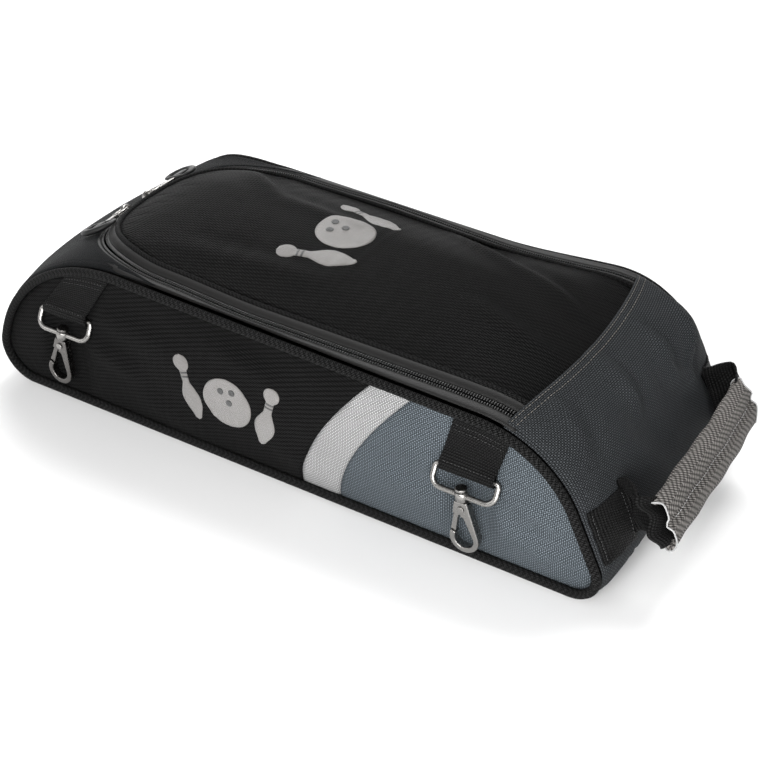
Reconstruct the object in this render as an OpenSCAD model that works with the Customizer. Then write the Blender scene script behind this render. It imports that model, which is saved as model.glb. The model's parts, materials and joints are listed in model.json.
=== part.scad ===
// Soft bowling shoe bag that clips on top of a larger bag by four swivel snap hooks.
// Units are millimetres. The origin is the centre of the base, on the floor.
// +X runs towards the end handle, -Y is the front side panel and +Z is up.

/* [Bag] */
// Length of a side panel's bottom line, before its corners are rounded
base_l = 503; // [495:1:515]
// Height of the top line above the toe end of the bottom line
toe_h = 124; // [121:1:127]
// Height of the top line above the handle end of the bottom line
handle_h = 109; // [107:1:112]
// How far the toe end leans in at the top
toe_lean = 36; // [33:1:39]
// How far the handle end leans in at the top
handle_lean = 52; // [49:1:55]
// Overall width across both side pipings
bag_w = 214; // [213:1:216]
// Thickness of the outer fabric
fabric_t = 1.2; // [1:0.1:1.3]
// Diameter of the side piping
piping_d = 6; // [5:0.5:6]

/* [Lid] */
// Half the width between the two zip lines
zip_half_w = 93; // [92.5:0.1:93.2]
// Position along X of the line that the lid hinges on
hinge_x = 171; // [168:1:174]
// How far the lid's skin stands above the side panels' edge
lid_rise = 5; // [4.6:0.1:5.4]
// Gap between the two rows of zip teeth
zip_gap = 1.4; // [1.3:0.1:1.6]

/* [Handle] */
// Length of the grip sleeve
grip_l = 146; // [136:2:150]
// Width of the grip sleeve
grip_w = 35; // [34:1:38]
// Thickness of the grip sleeve
grip_t = 13; // [11:1:14]
// Reach from the end panel to the middle of the grip
handle_reach = 36; // [34:1:40]

/* [Clips] */
// Width of the clip webbing
webbing_w = 38; // [36:0.5:38]
// Position along X of the toe end D-rings
toe_clip_x = -173; // [-175:1:-170]
// Position along X of the handle end D-rings
handle_clip_x = 147; // [144:1:150]
// Lean of the toe end hooks, with their tips towards the toe
toe_hook_lean = 10; // [0:1:12]
// Lean of the handle end hooks, with their tips towards the handle
handle_hook_lean = 7; // [0:1:9]
// How far the toe end straps run back along X from the ring to the seam
toe_strap_shift = 24; // [16:1:26]
// How far the handle end straps run back along X from the ring to the seam
handle_strap_shift = 8; // [0:1:10]
// Diameter of the D-ring's wire
ring_wire_d = 4; // [3.6:0.1:4]
// Radius of the swivel post
post_r = 2.4; // [2.2:0.1:2.5]
// Length of the snap hook's body
hook_l = 39; // [38:0.5:39.5]

/* [Hidden] */
$fn = 48;

// Colours
black = [0.05, 0.05, 0.06];
dark_band = [0.10, 0.09, 0.09];
charcoal = [0.20, 0.21, 0.22];
blue_grey = [0.33, 0.38, 0.42];
silver = [0.62, 0.62, 0.62];
nickel = [0.75, 0.74, 0.72];
thread_white = [0.85, 0.84, 0.80];
grip_grey = [0.38, 0.37, 0.37];
foam_grey = [0.55, 0.55, 0.55];

// Side outline: corners run anticlockwise from the toe end of the bottom line
corners = [
    [-base_l / 2, 0],
    [base_l / 2, 0],
    [base_l / 2 - handle_lean, handle_h],
    [toe_lean - base_l / 2, toe_h]
];
corner_radii = [27, 19, 83, 118];
toe_top = 3;
handle_top = 2;
arc_steps = 20;

// Layers across the width, from the outside in
panel_y = bag_w / 2 - piping_d - 0.2;
foam_y = panel_y - fabric_t - 0.2;
foam_t = 3;
lining_y = foam_y - foam_t - 0.4;
lining_t = 0.8;
lining_grow = -5.2;

// Lid and zip: half widths of the U-shaped rings around the opening
zip_tilt = 27.5;
zip_apex_s = -8;
u_centre_s = zip_apex_s + zip_half_w;
teeth_w = 2.3;
teeth_h = 2.2;
lid_teeth_out = zip_half_w - zip_gap / 2;
frame_teeth_in = zip_half_w + zip_gap / 2;
lid_half_w = zip_half_w - 11.6;
cord_out = lid_half_w + 3.6;
band_wall_in = cord_out - 1.6;
band_w = 8;
seam_gap = 0.2;
top_z = 90;

// Slider
slider_front_turn = 7.4;
slider_rear_turn = -8.7;
slider_l = 12;
slider_w = 9.2;
wing_t = 1.2;
diamond_t = 0.8;
bail_pin_z = 6.4;

// Clip, measured from the axis of the D-ring's bar
bar_z = [74.5, 67];
bar_y = panel_y + 4.1;
bar_r = ring_wire_d / 2;
strap_t = 1.5;
strap_loop_r = bar_r + 0.1;
ring_half_w = 22;
ring_drop = 14.5;
ring_tilt = 28;
barrel_r = 4.2;
barrel_h = 7.2;
post_gap = 0.05;
hook_t = 6;
hook_nose_r = 10.2;
hook_nose_x = 0.4;
gate_t = 3.5;
gate_slot_t = 3.8;
rivet_r = 1.6;
rivet_drop = 5.4;
spring_z = 0.5;
spring_h = 1.1;

// Handle: a loop of webbing from two anchor patches
end_slope = atan2(handle_h, handle_lean);
anchor_z = 50;
anchor_w = 38;
anchor_l = 33;
handle_dip = 4;
strap_half = 15.5;

// ---------------------------------------------------------------- geometry helpers

function unit(v) = v / norm(v);
function before(i) = unit(corners[(i + 3) % 4] - corners[i]);
function after(i) = unit(corners[(i + 1) % 4] - corners[i]);
function half_angle(i) = acos(before(i) * after(i)) / 2;
function arc_centre(i) = corners[i] + unit(before(i) + after(i)) * corner_radii[i] / sin(half_angle(i));
function arc_start(i) = atan2(before(i).x, -before(i).y);
function arc_points(i, grow) = [
    for (k = [0 : arc_steps])
        let (a = arc_start(i) + (180 - 2 * half_angle(i)) * k / arc_steps)
            arc_centre(i) + (corner_radii[i] + grow) * [cos(a), sin(a)]
];
function outline(grow) = [for (i = [0 : 3]) each arc_points(i, grow)];

// Height of the top line at x, where x lies on the handle end's rounded corner
function top_height(x, grow) =
    let (c = arc_centre(handle_top), r = corner_radii[handle_top] + grow)
        c.y + sqrt(r * r - (x - c.x) * (x - c.x));
// Point of the handle end's straight edge at height z
function end_x(z) = corners[1].x - handle_lean * z / handle_h;

// Solid of the side outline, grown by grow, between two planes across the width
module slab(grow, y0, y1) {
    rotate([90, 0, 0])
        translate([0, 0, -y1])
            linear_extrude(y1 - y0)
                polygon(outline(grow));
}

// Wall that follows the side outline, from grow value inner to grow value outer
module wall(outer, inner, half_w) {
    difference() {
        slab(outer, -half_w, half_w);
        slab(inner, -half_w - 1, half_w + 1);
    }
}

// Ring between the side outline's grow values, on the front or the rear side
module edge_ring(outer, inner, y0, y1) {
    difference() {
        slab(outer, y0, y1);
        slab(inner, y0 - 1, y1 + 1);
    }
}

// U shape of the lid opening, seen square to the toe end of the zip
function u_shape(half_w) = concat(
    [[420, half_w]],
    [for (k = [0 : 40]) [u_centre_s, 0] + half_w * [cos(90 + 4.5 * k), sin(90 + 4.5 * k)]],
    [[420, -half_w]]
);

// Everything inside the U shape, above top_z and on the lid's side of the hinge line
module opening(half_w) {
    toe = arc_centre(toe_top);
    intersection() {
        translate([toe.x, 0, toe.y])
            rotate([0, -zip_tilt, 0])
                translate([0, 0, -260])
                    linear_extrude(460)
                        polygon(u_shape(half_w));
        translate([-300, -150, top_z])
            cube([300 + hinge_x - seam_gap, 300, 60]);
    }
}

// Part of the top wall between two U shapes
module top_ring(out_half, in_half, outer, inner, half_w) {
    difference() {
        intersection() {
            wall(outer, inner, half_w);
            opening(out_half);
        }
        opening(in_half);
    }
}

// Part of the top wall inside a U shape
module top_patch(half_w, outer, inner) {
    intersection() {
        wall(outer, inner, half_w + 2);
        opening(half_w);
    }
}

// Mirrors children to the rear side
module on_side(side) {
    if (side == "rear") {
        mirror([0, 1, 0]) children();
    } else {
        children();
    }
}

// ---------------------------------------------------------------- side panels

// Edge of the curved stripe at height z, where shift moves it along X
function stripe_x(z, shift) = 21 + shift + 56 * pow(z / 107, 1.75);
stripe_w = 30;
stripe_rows = [for (k = [-1 : 13]) k * 10];
function stripe_edge(shift) = [for (z = stripe_rows) [stripe_x(max(z, 0), shift), z]];
function reversed(list) = [for (i = [len(list) - 1 : -1 : 0]) list[i]];

module side_sheet() {
    slab(-fabric_t - 0.4, -panel_y, -panel_y + fabric_t);
}

module stripe_prism(points) {
    rotate([90, 0, 0])
        linear_extrude(bag_w)
            polygon(points);
}

module side_main(side) {
    color(black)
        on_side(side) intersection() {
            side_sheet();
            stripe_prism(concat([[-300, 140], [-300, -10]], stripe_edge(-seam_gap)));
        }
}

module side_stripe(side) {
    color(silver)
        on_side(side) intersection() {
            side_sheet();
            stripe_prism(concat(reversed(stripe_edge(0)), stripe_edge(stripe_w)));
        }
}

module side_corner(side) {
    color(blue_grey)
        on_side(side) intersection() {
            side_sheet();
            stripe_prism(concat([[300, -10], [300, 140]], reversed(stripe_edge(stripe_w + seam_gap))));
        }
}

module side_piping(side) {
    color(black)
        on_side(side) edge_ring(0, -piping_d, -bag_w / 2, -bag_w / 2 + piping_d);
}

module side_foam(side) {
    color(foam_grey)
        on_side(side) slab(-3, -foam_y, -foam_y + foam_t);
}

// Upright bowling pin of height l, standing on the X axis
module pin_shape(l) {
    translate([0, 0.36 * l]) scale([0.46, 1]) circle(0.36 * l);
    translate([0, 0.87 * l]) circle(0.13 * l);
    polygon([[-0.11 * l, 0.5 * l], [0.11 * l, 0.5 * l], [0.07 * l, 0.86 * l], [-0.07 * l, 0.86 * l]]);
}

// Ball with three finger holes between two leaning pins, size wide, facing its own +Z
module emblem(size, thick) {
    linear_extrude(thick) {
        difference() {
            circle(0.24 * size);
            for (hole = [[-0.04, 0.1], [0.06, 0.12], [0.03, 0.02]])
                translate(hole * size) circle(0.026 * size);
        }
        for (x = [-1, 1])
            translate([x * 0.33 * size, -0.29 * size]) rotate(-x * 12) pin_shape(0.6 * size);
    }
}

module side_emblems() {
    color(thread_white)
        for (side = ["front", "rear"])
            on_side(side)
                translate([-34, -panel_y - 0.2, 52])
                    rotate([90, 0, 0])
                        emblem(84, 0.8);
}

// ---------------------------------------------------------------- ends, base and lining

base_x = [arc_centre(0).x + 2, arc_centre(1).x - 8];

module toe_panel() {
    color(charcoal)
        difference() {
            intersection() {
                wall(0, -fabric_t, panel_y);
                translate([-300, -150, -5]) cube([300, 300, 140]);
            }
            opening(panel_y + seam_gap);
            translate([base_x[0] - seam_gap, -150, -10]) cube([300, 300, 60]);
        }
}

module handle_end_panel() {
    color(charcoal)
        intersection() {
            wall(0, -fabric_t, panel_y);
            union() {
                translate([hinge_x + seam_gap, -150, 50]) cube([200, 300, 90]);
                translate([base_x[1] + seam_gap, -150, -5]) cube([200, 300, 60]);
            }
        }
}

module base_panel() {
    color(black)
        translate([base_x[0], -panel_y, 0])
            cube([base_x[1] - base_x[0], 2 * panel_y, fabric_t]);
}

module base_board() {
    color(foam_grey)
        translate([base_x[0] + 4, -lining_y, fabric_t + 0.3])
            cube([base_x[1] - base_x[0] - 8, 2 * lining_y, 2]);
}

module lining() {
    color(black)
        difference() {
            slab(lining_grow, -lining_y, lining_y);
            slab(lining_grow - lining_t, -lining_y + lining_t, lining_y - lining_t);
            opening(zip_half_w + 0.5);
        }
}

// ---------------------------------------------------------------- rim and lid

module rim_band() {
    color(dark_band)
        top_ring(frame_teeth_in + teeth_w + band_w - 0.4, frame_teeth_in + teeth_w + 0.3, 1.4, 0.2, panel_y);
}

module frame_zip_tape() {
    color(black)
        top_ring(zip_half_w + 6, frame_teeth_in - 0.2, -0.2, -1, panel_y - 1);
}

module frame_zip_teeth() {
    color(black)
        top_ring(frame_teeth_in + teeth_w, frame_teeth_in, teeth_h, 0, panel_y);
}

module lid_zip_teeth() {
    color(black)
        top_ring(lid_teeth_out, lid_teeth_out - teeth_w, teeth_h, 0, panel_y);
}

module lid_zip_tape() {
    color(black)
        top_ring(lid_teeth_out + 0.2, zip_half_w - 6, -0.2, -1, panel_y);
}

module lid_band() {
    color(dark_band)
        union() {
            top_ring(lid_teeth_out - teeth_w - 0.3, band_wall_in, 1.4, 0.2, panel_y);
            top_ring(cord_out, band_wall_in, lid_rise - 1, 0.2, panel_y);
        }
}

module lid_cord() {
    color(black)
        top_ring(cord_out, lid_half_w + seam_gap, lid_rise + 2, lid_rise - 0.8, panel_y);
}

module lid_panel() {
    color(black) top_patch(lid_half_w, lid_rise, lid_rise - fabric_t);
}

module lid_foam() {
    color(foam_grey) top_patch(band_wall_in - 0.4, lid_rise - fabric_t - 0.2, 1.6);
}

module lid_lining() {
    color(black) top_patch(band_wall_in - 0.4, 1.4, 0.6);
}

module lid_emblem() {
    slope = atan2(corners[3].y - corners[2].y, corners[2].x - corners[3].x);
    mid_x = -13;
    mid_z = corners[3].y - (mid_x - corners[3].x) * tan(slope);
    color(thread_white)
        translate([mid_x, 10, mid_z])
            rotate([0, slope, 0])
                translate([0, 0, lid_rise + 0.2])
                    rotate(90)
                        emblem(92, 0.8);
}

// ---------------------------------------------------------------- sliders and pulls

// Puts children on the zip line, turned about the centre of the zip's round end
module on_zip(turn) {
    toe = arc_centre(toe_top);
    translate([toe.x, 0, toe.y])
        rotate([0, -zip_tilt, 0])
            translate([u_centre_s, 0, corner_radii[toe_top]])
                rotate([0, 0, turn])
                    translate([-zip_half_w, 0, 0])
                        children();
}

module slider() {
    roof_z = teeth_h + 0.7;
    flange_t = 0.9;
    color(nickel)
        difference() {
            union() {
                translate([-slider_w / 2, -slider_l / 2, roof_z]) cube([slider_w, slider_l, wing_t]);
                for (x = [-slider_w / 2, slider_w / 2 - flange_t])
                    translate([x, -slider_l / 2, 1.7]) cube([flange_t, slider_l, roof_z - 1]);
                translate([-diamond_t / 2, -2.5, -2.9]) cube([diamond_t, 5, roof_z + 3]);
                translate([-diamond_t / 2, -slider_l / 2, -2.9]) cube([slider_w / 2, slider_l, 1]);
                translate([-1.3, -4, roof_z]) cube([2.6, 8, bail_pin_z + 2.2 - roof_z]);
            }
            translate([-5, 0, bail_pin_z]) rotate([0, 90, 0]) cylinder(h = 10, r = 1.1);
        }
}

// Metal link and bar. It turns about the X axis through the slider's bail.
module pull_bar() {
    color(nickel)
        translate([0, 0, bail_pin_z])
            union() {
                translate([-3.2, 0, 0]) rotate([0, 90, 0]) cylinder(h = 6.4, r = 1.05);
                for (x = [-3.2, 1.7])
                    translate([x, -7, -0.8]) cube([1.5, 7, 1.6]);
                translate([-3.2, -12, -0.8]) cube([6.4, 6, 1.6]);
                translate([-2.2, -34, -0.8]) cube([4.4, 24, 1.6]);
            }
}

// Moulded finger loop on the end of the bar
module pull_loop() {
    color(black)
        translate([0, -30, bail_pin_z - 1.6])
            difference() {
                linear_extrude(3.2)
                    difference() {
                        scale([1, 0.9]) circle(12.6);
                        translate([0, 3]) scale([1, 0.7]) circle(9.2);
                    }
                translate([-2.3, -4.1, 0.7]) cube([4.6, 30, 1.8]);
            }
}

// ---------------------------------------------------------------- handle

// Outward direction of the handle's legs, and the direction down the end face
leg_dir = [cos(handle_dip), sin(handle_dip)];
face_dir = [cos(end_slope), -sin(end_slope)];
face_out = [sin(end_slope), cos(end_slope)];
pivot = [end_x(anchor_z), anchor_z] + 3 * face_out;
grip_mid = pivot + (handle_reach - 3) * leg_dir;

module handle_anchors() {
    color(black)
        for (side = ["front", "rear"])
            on_side(side)
                translate([0, -panel_y + 1, 0])
                    rotate([90, 0, 0])
                        translate([0, 0, -anchor_l])
                            linear_extrude(anchor_l)
                                polygon([
                                    for (c = [[-1, 0.3], [1, 0.3], [1, 2], [-1, 2]])
                                        [end_x(anchor_z), anchor_z] + c.x * anchor_w / 2 * face_dir
                                            + c.y * face_out
                                ]);
}

// One leg: a fan of webbing from the anchor's inner edge to the grip
module handle_leg() {
    far = pivot + (handle_reach - 3 - 1.3) * leg_dir;
    rotate([90, 0, 0])
        linear_extrude(2.2)
            polygon([
                pivot + 1 * leg_dir - 2 * face_dir,
                pivot + 1 * leg_dir + 2 * face_dir,
                far + strap_half * face_dir,
                far - strap_half * face_dir
            ]);
}

module handle_webbing() {
    leg_y = grip_l / 2 + 0.6;
    color(black) {
        translate([0, -leg_y, 0]) handle_leg();
        translate([0, leg_y + 2.2, 0]) handle_leg();
        rotate([90, 0, 0])
            translate([0, 0, -leg_y - 2.2])
                linear_extrude(2 * leg_y + 4.4)
                    polygon([
                        for (c = [[-1, -1], [1, -1], [1, 1], [-1, 1]])
                            grip_mid + c.x * strap_half * face_dir + c.y * 1.3 * face_out
                    ]);
    }
}

module handle_grip() {
    slot_half = strap_half + 0.3;
    color(grip_grey)
        translate([grip_mid.x, grip_l / 2, grip_mid.y])
            rotate([90, end_slope, 0])
                linear_extrude(grip_l)
                    difference() {
                        hull()
                            for (x = [-1, 1])
                                translate([x * (grip_w - grip_t) / 2, 0]) circle(d = grip_t);
                        square([2 * slot_half, 3.2], center = true);
                    }
}

// ---------------------------------------------------------------- clips

// Middle of a front D-ring's bar
function bar_place(end) =
    end == "toe" ? [toe_clip_x, -bar_y, bar_z[0]] : [handle_clip_x, -bar_y, bar_z[1]];

// Places children at a clip: the origin is the bar's axis, -Y points away from the bag
module at_clip(side, end) {
    $hook_lean = end == "toe" ? toe_hook_lean : -handle_hook_lean;
    on_side(side)
        translate(bar_place(end))
            children();
}

// Turns children with the D-ring, which hangs a little way out from the bag
module on_ring() {
    rotate([-ring_tilt, 0, 0]) children();
}

// Places children on the barrel's axis, which leans along the bag with the hook
module at_barrel() {
    on_ring()
        translate([0, 0, -ring_drop])
            rotate([ring_tilt, 0, 0])
                rotate([0, $hook_lean, 0])
                    children();
}

// Height at x of the side panel's edge inside the piping
function seam_height(x) =
    let (
        grow = -piping_d - 0.4,
        toe = arc_centre(toe_top),
        far = arc_centre(handle_top),
        toe_r = corner_radii[toe_top] + grow,
        far_r = corner_radii[handle_top] + grow,
        top_dir = unit(corners[handle_top] - corners[toe_top]),
        toe_end = toe.x - toe_r * top_dir.y,
        far_start = far.x - far_r * top_dir.y,
        toe_end_z = toe.y + toe_r * top_dir.x
    )
        x < toe_end ? toe.y + sqrt(toe_r * toe_r - (x - toe.x) * (x - toe.x))
            : x > far_start ? far.y + sqrt(far_r * far_r - (x - far.x) * (x - far.x))
                : toe_end_z + (x - toe_end) * top_dir.y / top_dir.x;

// Webbing doubled round the bar at place, which runs up and across to the side panel's seam
module clip_strap(place, shift) {
    half = webbing_w / 2;
    straight = 4;
    in_y = bar_y - panel_y - 0.3;
    top_x = [for (k = [4 : -1 : 0]) shift - half + k * webbing_w / 4];
    translate(place)
        difference() {
            union() {
                rotate([0, 90, 0])
                    cylinder(h = webbing_w, r = strap_loop_r + strap_t, center = true);
                translate([0, in_y, 0])
                    rotate([90, 0, 0])
                        linear_extrude(2 * strap_t)
                            polygon(concat(
                                [[-half, straight], [-half, 0], [half, 0], [half, straight]],
                                [for (x = top_x) [x, seam_height(place.x + x) - place.z]]
                            ));
            }
            rotate([0, 90, 0])
                cylinder(h = webbing_w + 2, r = strap_loop_r, center = true);
        }
}

module clip_straps() {
    color(black)
        for (side = ["front", "rear"])
            on_side(side) {
                clip_strap(bar_place("toe"), toe_strap_shift);
                clip_strap(bar_place("handle"), handle_strap_shift);
            }
}

// D-shaped ring with a round bar on top and the swivel's barrel at the bottom
module d_ring() {
    r = bar_r;
    color(nickel)
        difference() {
            union() {
                on_ring() {
                    rotate([0, 90, 0]) cylinder(h = 2 * ring_half_w, r = r, center = true);
                    rotate([90, 0, 0])
                        linear_extrude(2 * r, center = true)
                            difference() {
                                ring_outline(r);
                                ring_outline(-r);
                                translate([-ring_half_w + 1, -r - 1]) square([2 * ring_half_w - 2, 20]);
                            }
                }
                at_barrel() cylinder(h = barrel_h, r = barrel_r, center = true);
            }
            at_barrel() cylinder(h = 30, r = post_r + post_gap, center = true);
        }
}

// Rounded outline of the ring's wire, grown by grow from its centre line
module ring_outline(grow) {
    hull() {
        for (x = [-1, 1]) {
            translate([x * (ring_half_w - 2), -2]) circle(2 + grow + 0.01);
            translate([x * (ring_half_w - 7), -ring_drop + 7]) circle(7 + grow);
        }
    }
}

// Outline of the hook's body below its collar, where y = 0 is the top of the plate
module hook_outline() {
    nose_y = -hook_l + hook_nose_r;
    difference() {
        hull() {
            translate([-4.5, -1]) square([9, 1]);
            translate([hook_nose_x, nose_y]) circle(hook_nose_r);
        }
        hull() {
            translate([hook_nose_x, nose_y]) circle(hook_nose_r - 3.6);
            translate([0, -13]) circle(1.6);
        }
        // mouth, which the gate closes; its lower edge clears the arc of the gate's tip
        polygon([[-20, -9.4], [-1, -9.4], [-1, -13], [-4, -25.3], [-10.2, -23.2], [-20, -23.2]]);
    }
}

module hook() {
    plate_top = -barrel_h / 2 - 0.3;
    color(nickel)
        at_barrel() {
            difference() {
                union() {
                    translate([0, 0, plate_top])
                        rotate([90, 0, 0])
                            linear_extrude(hook_t, center = true)
                                hook_outline();
                    translate([0, 0, plate_top - 0.5]) cylinder(h = 1 + barrel_h + 0.4, r = post_r);
                    translate([0, 0, barrel_h / 2 + 0.3]) cylinder(h = 2.2, r = 4);
                }
                // slot and cross bore that hold the gate
                translate([0, 0, plate_top])
                    rotate([90, 0, 0])
                        linear_extrude(gate_slot_t, center = true)
                            gate_slot();
                translate([0, 0, plate_top - rivet_drop])
                    rotate([90, 0, 0])
                        cylinder(h = 20, r = rivet_r + 0.02, center = true);
            }
        }
}

module gate_slot() {
    polygon([[-12, -0.8], [4.6, -0.8], [5.2, -11.5], [0, -16], [-12, -16]]);
}

// Outline of the gate: an eye round the rivet and an arm that closes the mouth
module gate_outline() {
    eye_r = 3.6;
    polygon(concat(
        [for (a = [-72 : 18 : 198]) [0, -rivet_drop] + eye_r * [cos(a), sin(a)]],
        [[-5.9, -10.4], [-9, -23.1], [-5.6, -24.4], [-2.9, -11.4]]
    ));
}

module gate() {
    color(nickel)
        at_barrel()
            translate([0, 0, -barrel_h / 2 - 0.3])
                rotate([90, 0, 0])
                    difference() {
                        linear_extrude(gate_t, center = true) gate_outline();
                        translate([0, -rivet_drop, 0]) {
                            cylinder(h = 10, r = rivet_r + 0.05, center = true);
                            // pocket for the spring's coil and leg
                            translate([0, 0, spring_z - 0.1]) cylinder(h = 3, r = 3);
                            translate([-1, -6, spring_z - 0.1]) cube([1, 6, 3]);
                        }
                    }
}

module rivet() {
    color(nickel)
        at_barrel()
            translate([0, 0, -barrel_h / 2 - 0.3 - rivet_drop])
                rotate([90, 0, 0]) {
                    cylinder(h = hook_t + 0.4, r = rivet_r, center = true);
                    for (z = [-1, 1])
                        translate([0, 0, z * (hook_t / 2 + 0.5)])
                            cylinder(h = 0.9, r = 2.4, center = true);
                }
}

// Torsion spring round the rivet, in the pocket of the gate's eye
module spring() {
    color(nickel)
        at_barrel()
            translate([0, 0, -barrel_h / 2 - 0.3 - rivet_drop])
                rotate([90, 0, 0])
                    translate([0, 0, spring_z])
                        union() {
                            difference() {
                                cylinder(h = spring_h, r = 2.8);
                                translate([0, 0, -1]) cylinder(h = spring_h + 2, r = rivet_r + 0.15);
                            }
                            translate([-0.8, -5.6, 0]) cube([0.6, 3.4, 0.6]);
                        }
}

// ---------------------------------------------------------------- nodes

side_main("front");  // front_panel
side_stripe("front");  // front_stripe
side_corner("front");  // front_corner_panel
side_main("rear");  // rear_panel
side_stripe("rear");  // rear_stripe
side_corner("rear");  // rear_corner_panel
side_piping("front");  // front_piping
side_piping("rear");  // rear_piping
toe_panel();
handle_end_panel();
base_panel();
base_board();
lining();
side_foam("front");  // front_foam
side_foam("rear");  // rear_foam
rim_band();
frame_zip_tape();
frame_zip_teeth();
side_emblems();
handle_anchors();
clip_straps();
lid_panel();
lid_foam();
lid_lining();
lid_cord();
lid_band();
lid_zip_tape();
lid_zip_teeth();
lid_emblem();
on_zip(slider_front_turn) slider();  // slider_front
on_zip(slider_front_turn) pull_bar();  // pull_bar_front
on_zip(slider_front_turn) pull_loop();  // pull_loop_front
on_zip(slider_rear_turn) mirror([0, 1, 0]) slider();  // slider_rear
on_zip(slider_rear_turn) mirror([0, 1, 0]) pull_bar();  // pull_bar_rear
on_zip(slider_rear_turn) mirror([0, 1, 0]) pull_loop();  // pull_loop_rear
handle_webbing();
handle_grip();
at_clip("front", "toe") d_ring();  // ring_front_toe
at_clip("front", "toe") hook();  // hook_front_toe
at_clip("front", "toe") gate();  // gate_front_toe
at_clip("front", "toe") rivet();  // rivet_front_toe
at_clip("front", "toe") spring();  // spring_front_toe
at_clip("front", "handle") d_ring();  // ring_front_handle
at_clip("front", "handle") hook();  // hook_front_handle
at_clip("front", "handle") gate();  // gate_front_handle
at_clip("front", "handle") rivet();  // rivet_front_handle
at_clip("front", "handle") spring();  // spring_front_handle
at_clip("rear", "toe") d_ring();  // ring_rear_toe
at_clip("rear", "toe") hook();  // hook_rear_toe
at_clip("rear", "toe") gate();  // gate_rear_toe
at_clip("rear", "toe") rivet();  // rivet_rear_toe
at_clip("rear", "toe") spring();  // spring_rear_toe
at_clip("rear", "handle") d_ring();  // ring_rear_handle
at_clip("rear", "handle") hook();  // hook_rear_handle
at_clip("rear", "handle") gate();  // gate_rear_handle
at_clip("rear", "handle") rivet();  // rivet_rear_handle
at_clip("rear", "handle") spring();  // spring_rear_handle
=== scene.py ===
"""Looks of the clip-on bowling shoe bag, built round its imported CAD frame.

Lengths are millimetres until a mesh is made, when they become metres.
+X runs towards the end handle, -Y is the front side panel and +Z is up.
"""

import json
import math

import bmesh
import bpy
import numpy as np
from mathutils import Matrix, Vector
from mathutils.bvhtree import BVHTree
from mathutils.geometry import convex_hull_2d

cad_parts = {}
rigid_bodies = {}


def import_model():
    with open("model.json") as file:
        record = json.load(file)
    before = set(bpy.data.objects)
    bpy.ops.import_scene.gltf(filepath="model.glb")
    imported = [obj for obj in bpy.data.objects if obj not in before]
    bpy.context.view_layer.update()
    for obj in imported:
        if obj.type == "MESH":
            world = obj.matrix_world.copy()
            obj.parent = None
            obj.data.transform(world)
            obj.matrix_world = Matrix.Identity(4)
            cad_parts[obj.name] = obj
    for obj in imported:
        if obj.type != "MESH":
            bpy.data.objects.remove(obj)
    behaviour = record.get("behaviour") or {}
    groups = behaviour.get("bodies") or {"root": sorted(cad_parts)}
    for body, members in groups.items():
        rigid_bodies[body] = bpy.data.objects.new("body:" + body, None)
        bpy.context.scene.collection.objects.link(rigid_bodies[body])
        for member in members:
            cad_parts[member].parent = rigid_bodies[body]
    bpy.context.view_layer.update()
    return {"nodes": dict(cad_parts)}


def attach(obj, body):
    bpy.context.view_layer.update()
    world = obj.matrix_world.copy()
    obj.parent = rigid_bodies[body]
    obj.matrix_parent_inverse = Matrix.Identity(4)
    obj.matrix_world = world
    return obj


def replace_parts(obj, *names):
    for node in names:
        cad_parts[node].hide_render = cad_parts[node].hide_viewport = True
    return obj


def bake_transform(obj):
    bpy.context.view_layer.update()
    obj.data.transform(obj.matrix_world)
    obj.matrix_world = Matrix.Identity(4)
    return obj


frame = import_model()

MM = 0.001

# Bag, as in the CAD source
PANEL_Y = 100.8
PIPING_Y = 104.0
PIPING_R = 3.1
TOE_CENTRE = np.array([-127.83, 2.75])
TOE_RADIUS = 118.0
ZIP_TILT = math.radians(27.5)
ZIP_HALF = 93.0
U_CENTRE = 85.0
HINGE_X = 171.0
BASE_X = (-214.0, 215.0)
SLIDER_TURNS = {"front": 7.4, "rear": -8.7}
BAIL_Z = 6.4

# Clips, as in the CAD source
BAR_Y = 104.9
BARS = {"toe": (-173.0, 74.5), "handle": (147.0, 67.0)}
STRAP_SHIFT = {"toe": 24.0, "handle": 8.0}
HOOK_LEAN = {"toe": 10.0, "handle": -7.0}
HOOK_SIDE = {"toe": -3.0, "handle": 2.0}
RING_TILT = 28.0
RING_DROP = 14.5

# Handle, as in the CAD source
END_SLOPE = math.atan2(109.0, 52.0)
FACE_DIR = np.array([math.cos(END_SLOPE), -math.sin(END_SLOPE)])
FACE_OUT = np.array([math.sin(END_SLOPE), math.cos(END_SLOPE)])
ANCHOR = np.array([251.5 - 52.0 * 50 / 109, 50.0])
ANCHOR_Y = (-98.5, -67.0)
GRIP_MID = np.array([263.27, 53.59])
GRIP_HALF = 73.0

# How the stuffed bag's fabric differs from its straight cut
TOE_SWELL = 9.0
END_SWELL = 12.0
REAR_SAG = 11.0
FIRM = ("metal_", "moulded_", "wire_", "sleeve_", "edge_grip", "stitches_grip", "floor")

# Sheets of fabric
GRID_STEP = 3.0
FABRIC = 1.2
LINING = 0.8
FULLNESS = 160


# ---------------------------------------------------------------- meshes


def as_object(name, points, faces, corner_uvs=None):
    """Smooth mesh object from points in millimetres. UVs are one pair per face corner, in metres."""
    mesh = bpy.data.meshes.new(name)
    mesh.from_pydata((np.asarray(points, float) * MM).tolist(), [], [list(f) for f in faces])
    if corner_uvs is not None:
        layer = mesh.uv_layers.new(name="UVMap")
        layer.data.foreach_set("uv", np.asarray(corner_uvs, np.float32).ravel())
    mesh.polygons.foreach_set("use_smooth", [True] * len(mesh.polygons))
    work = bmesh.new()
    work.from_mesh(mesh)
    bmesh.ops.recalc_face_normals(work, faces=work.faces)
    work.to_mesh(mesh)
    work.free()
    obj = bpy.data.objects.new(name, mesh)
    bpy.context.scene.collection.objects.link(obj)
    return obj


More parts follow.
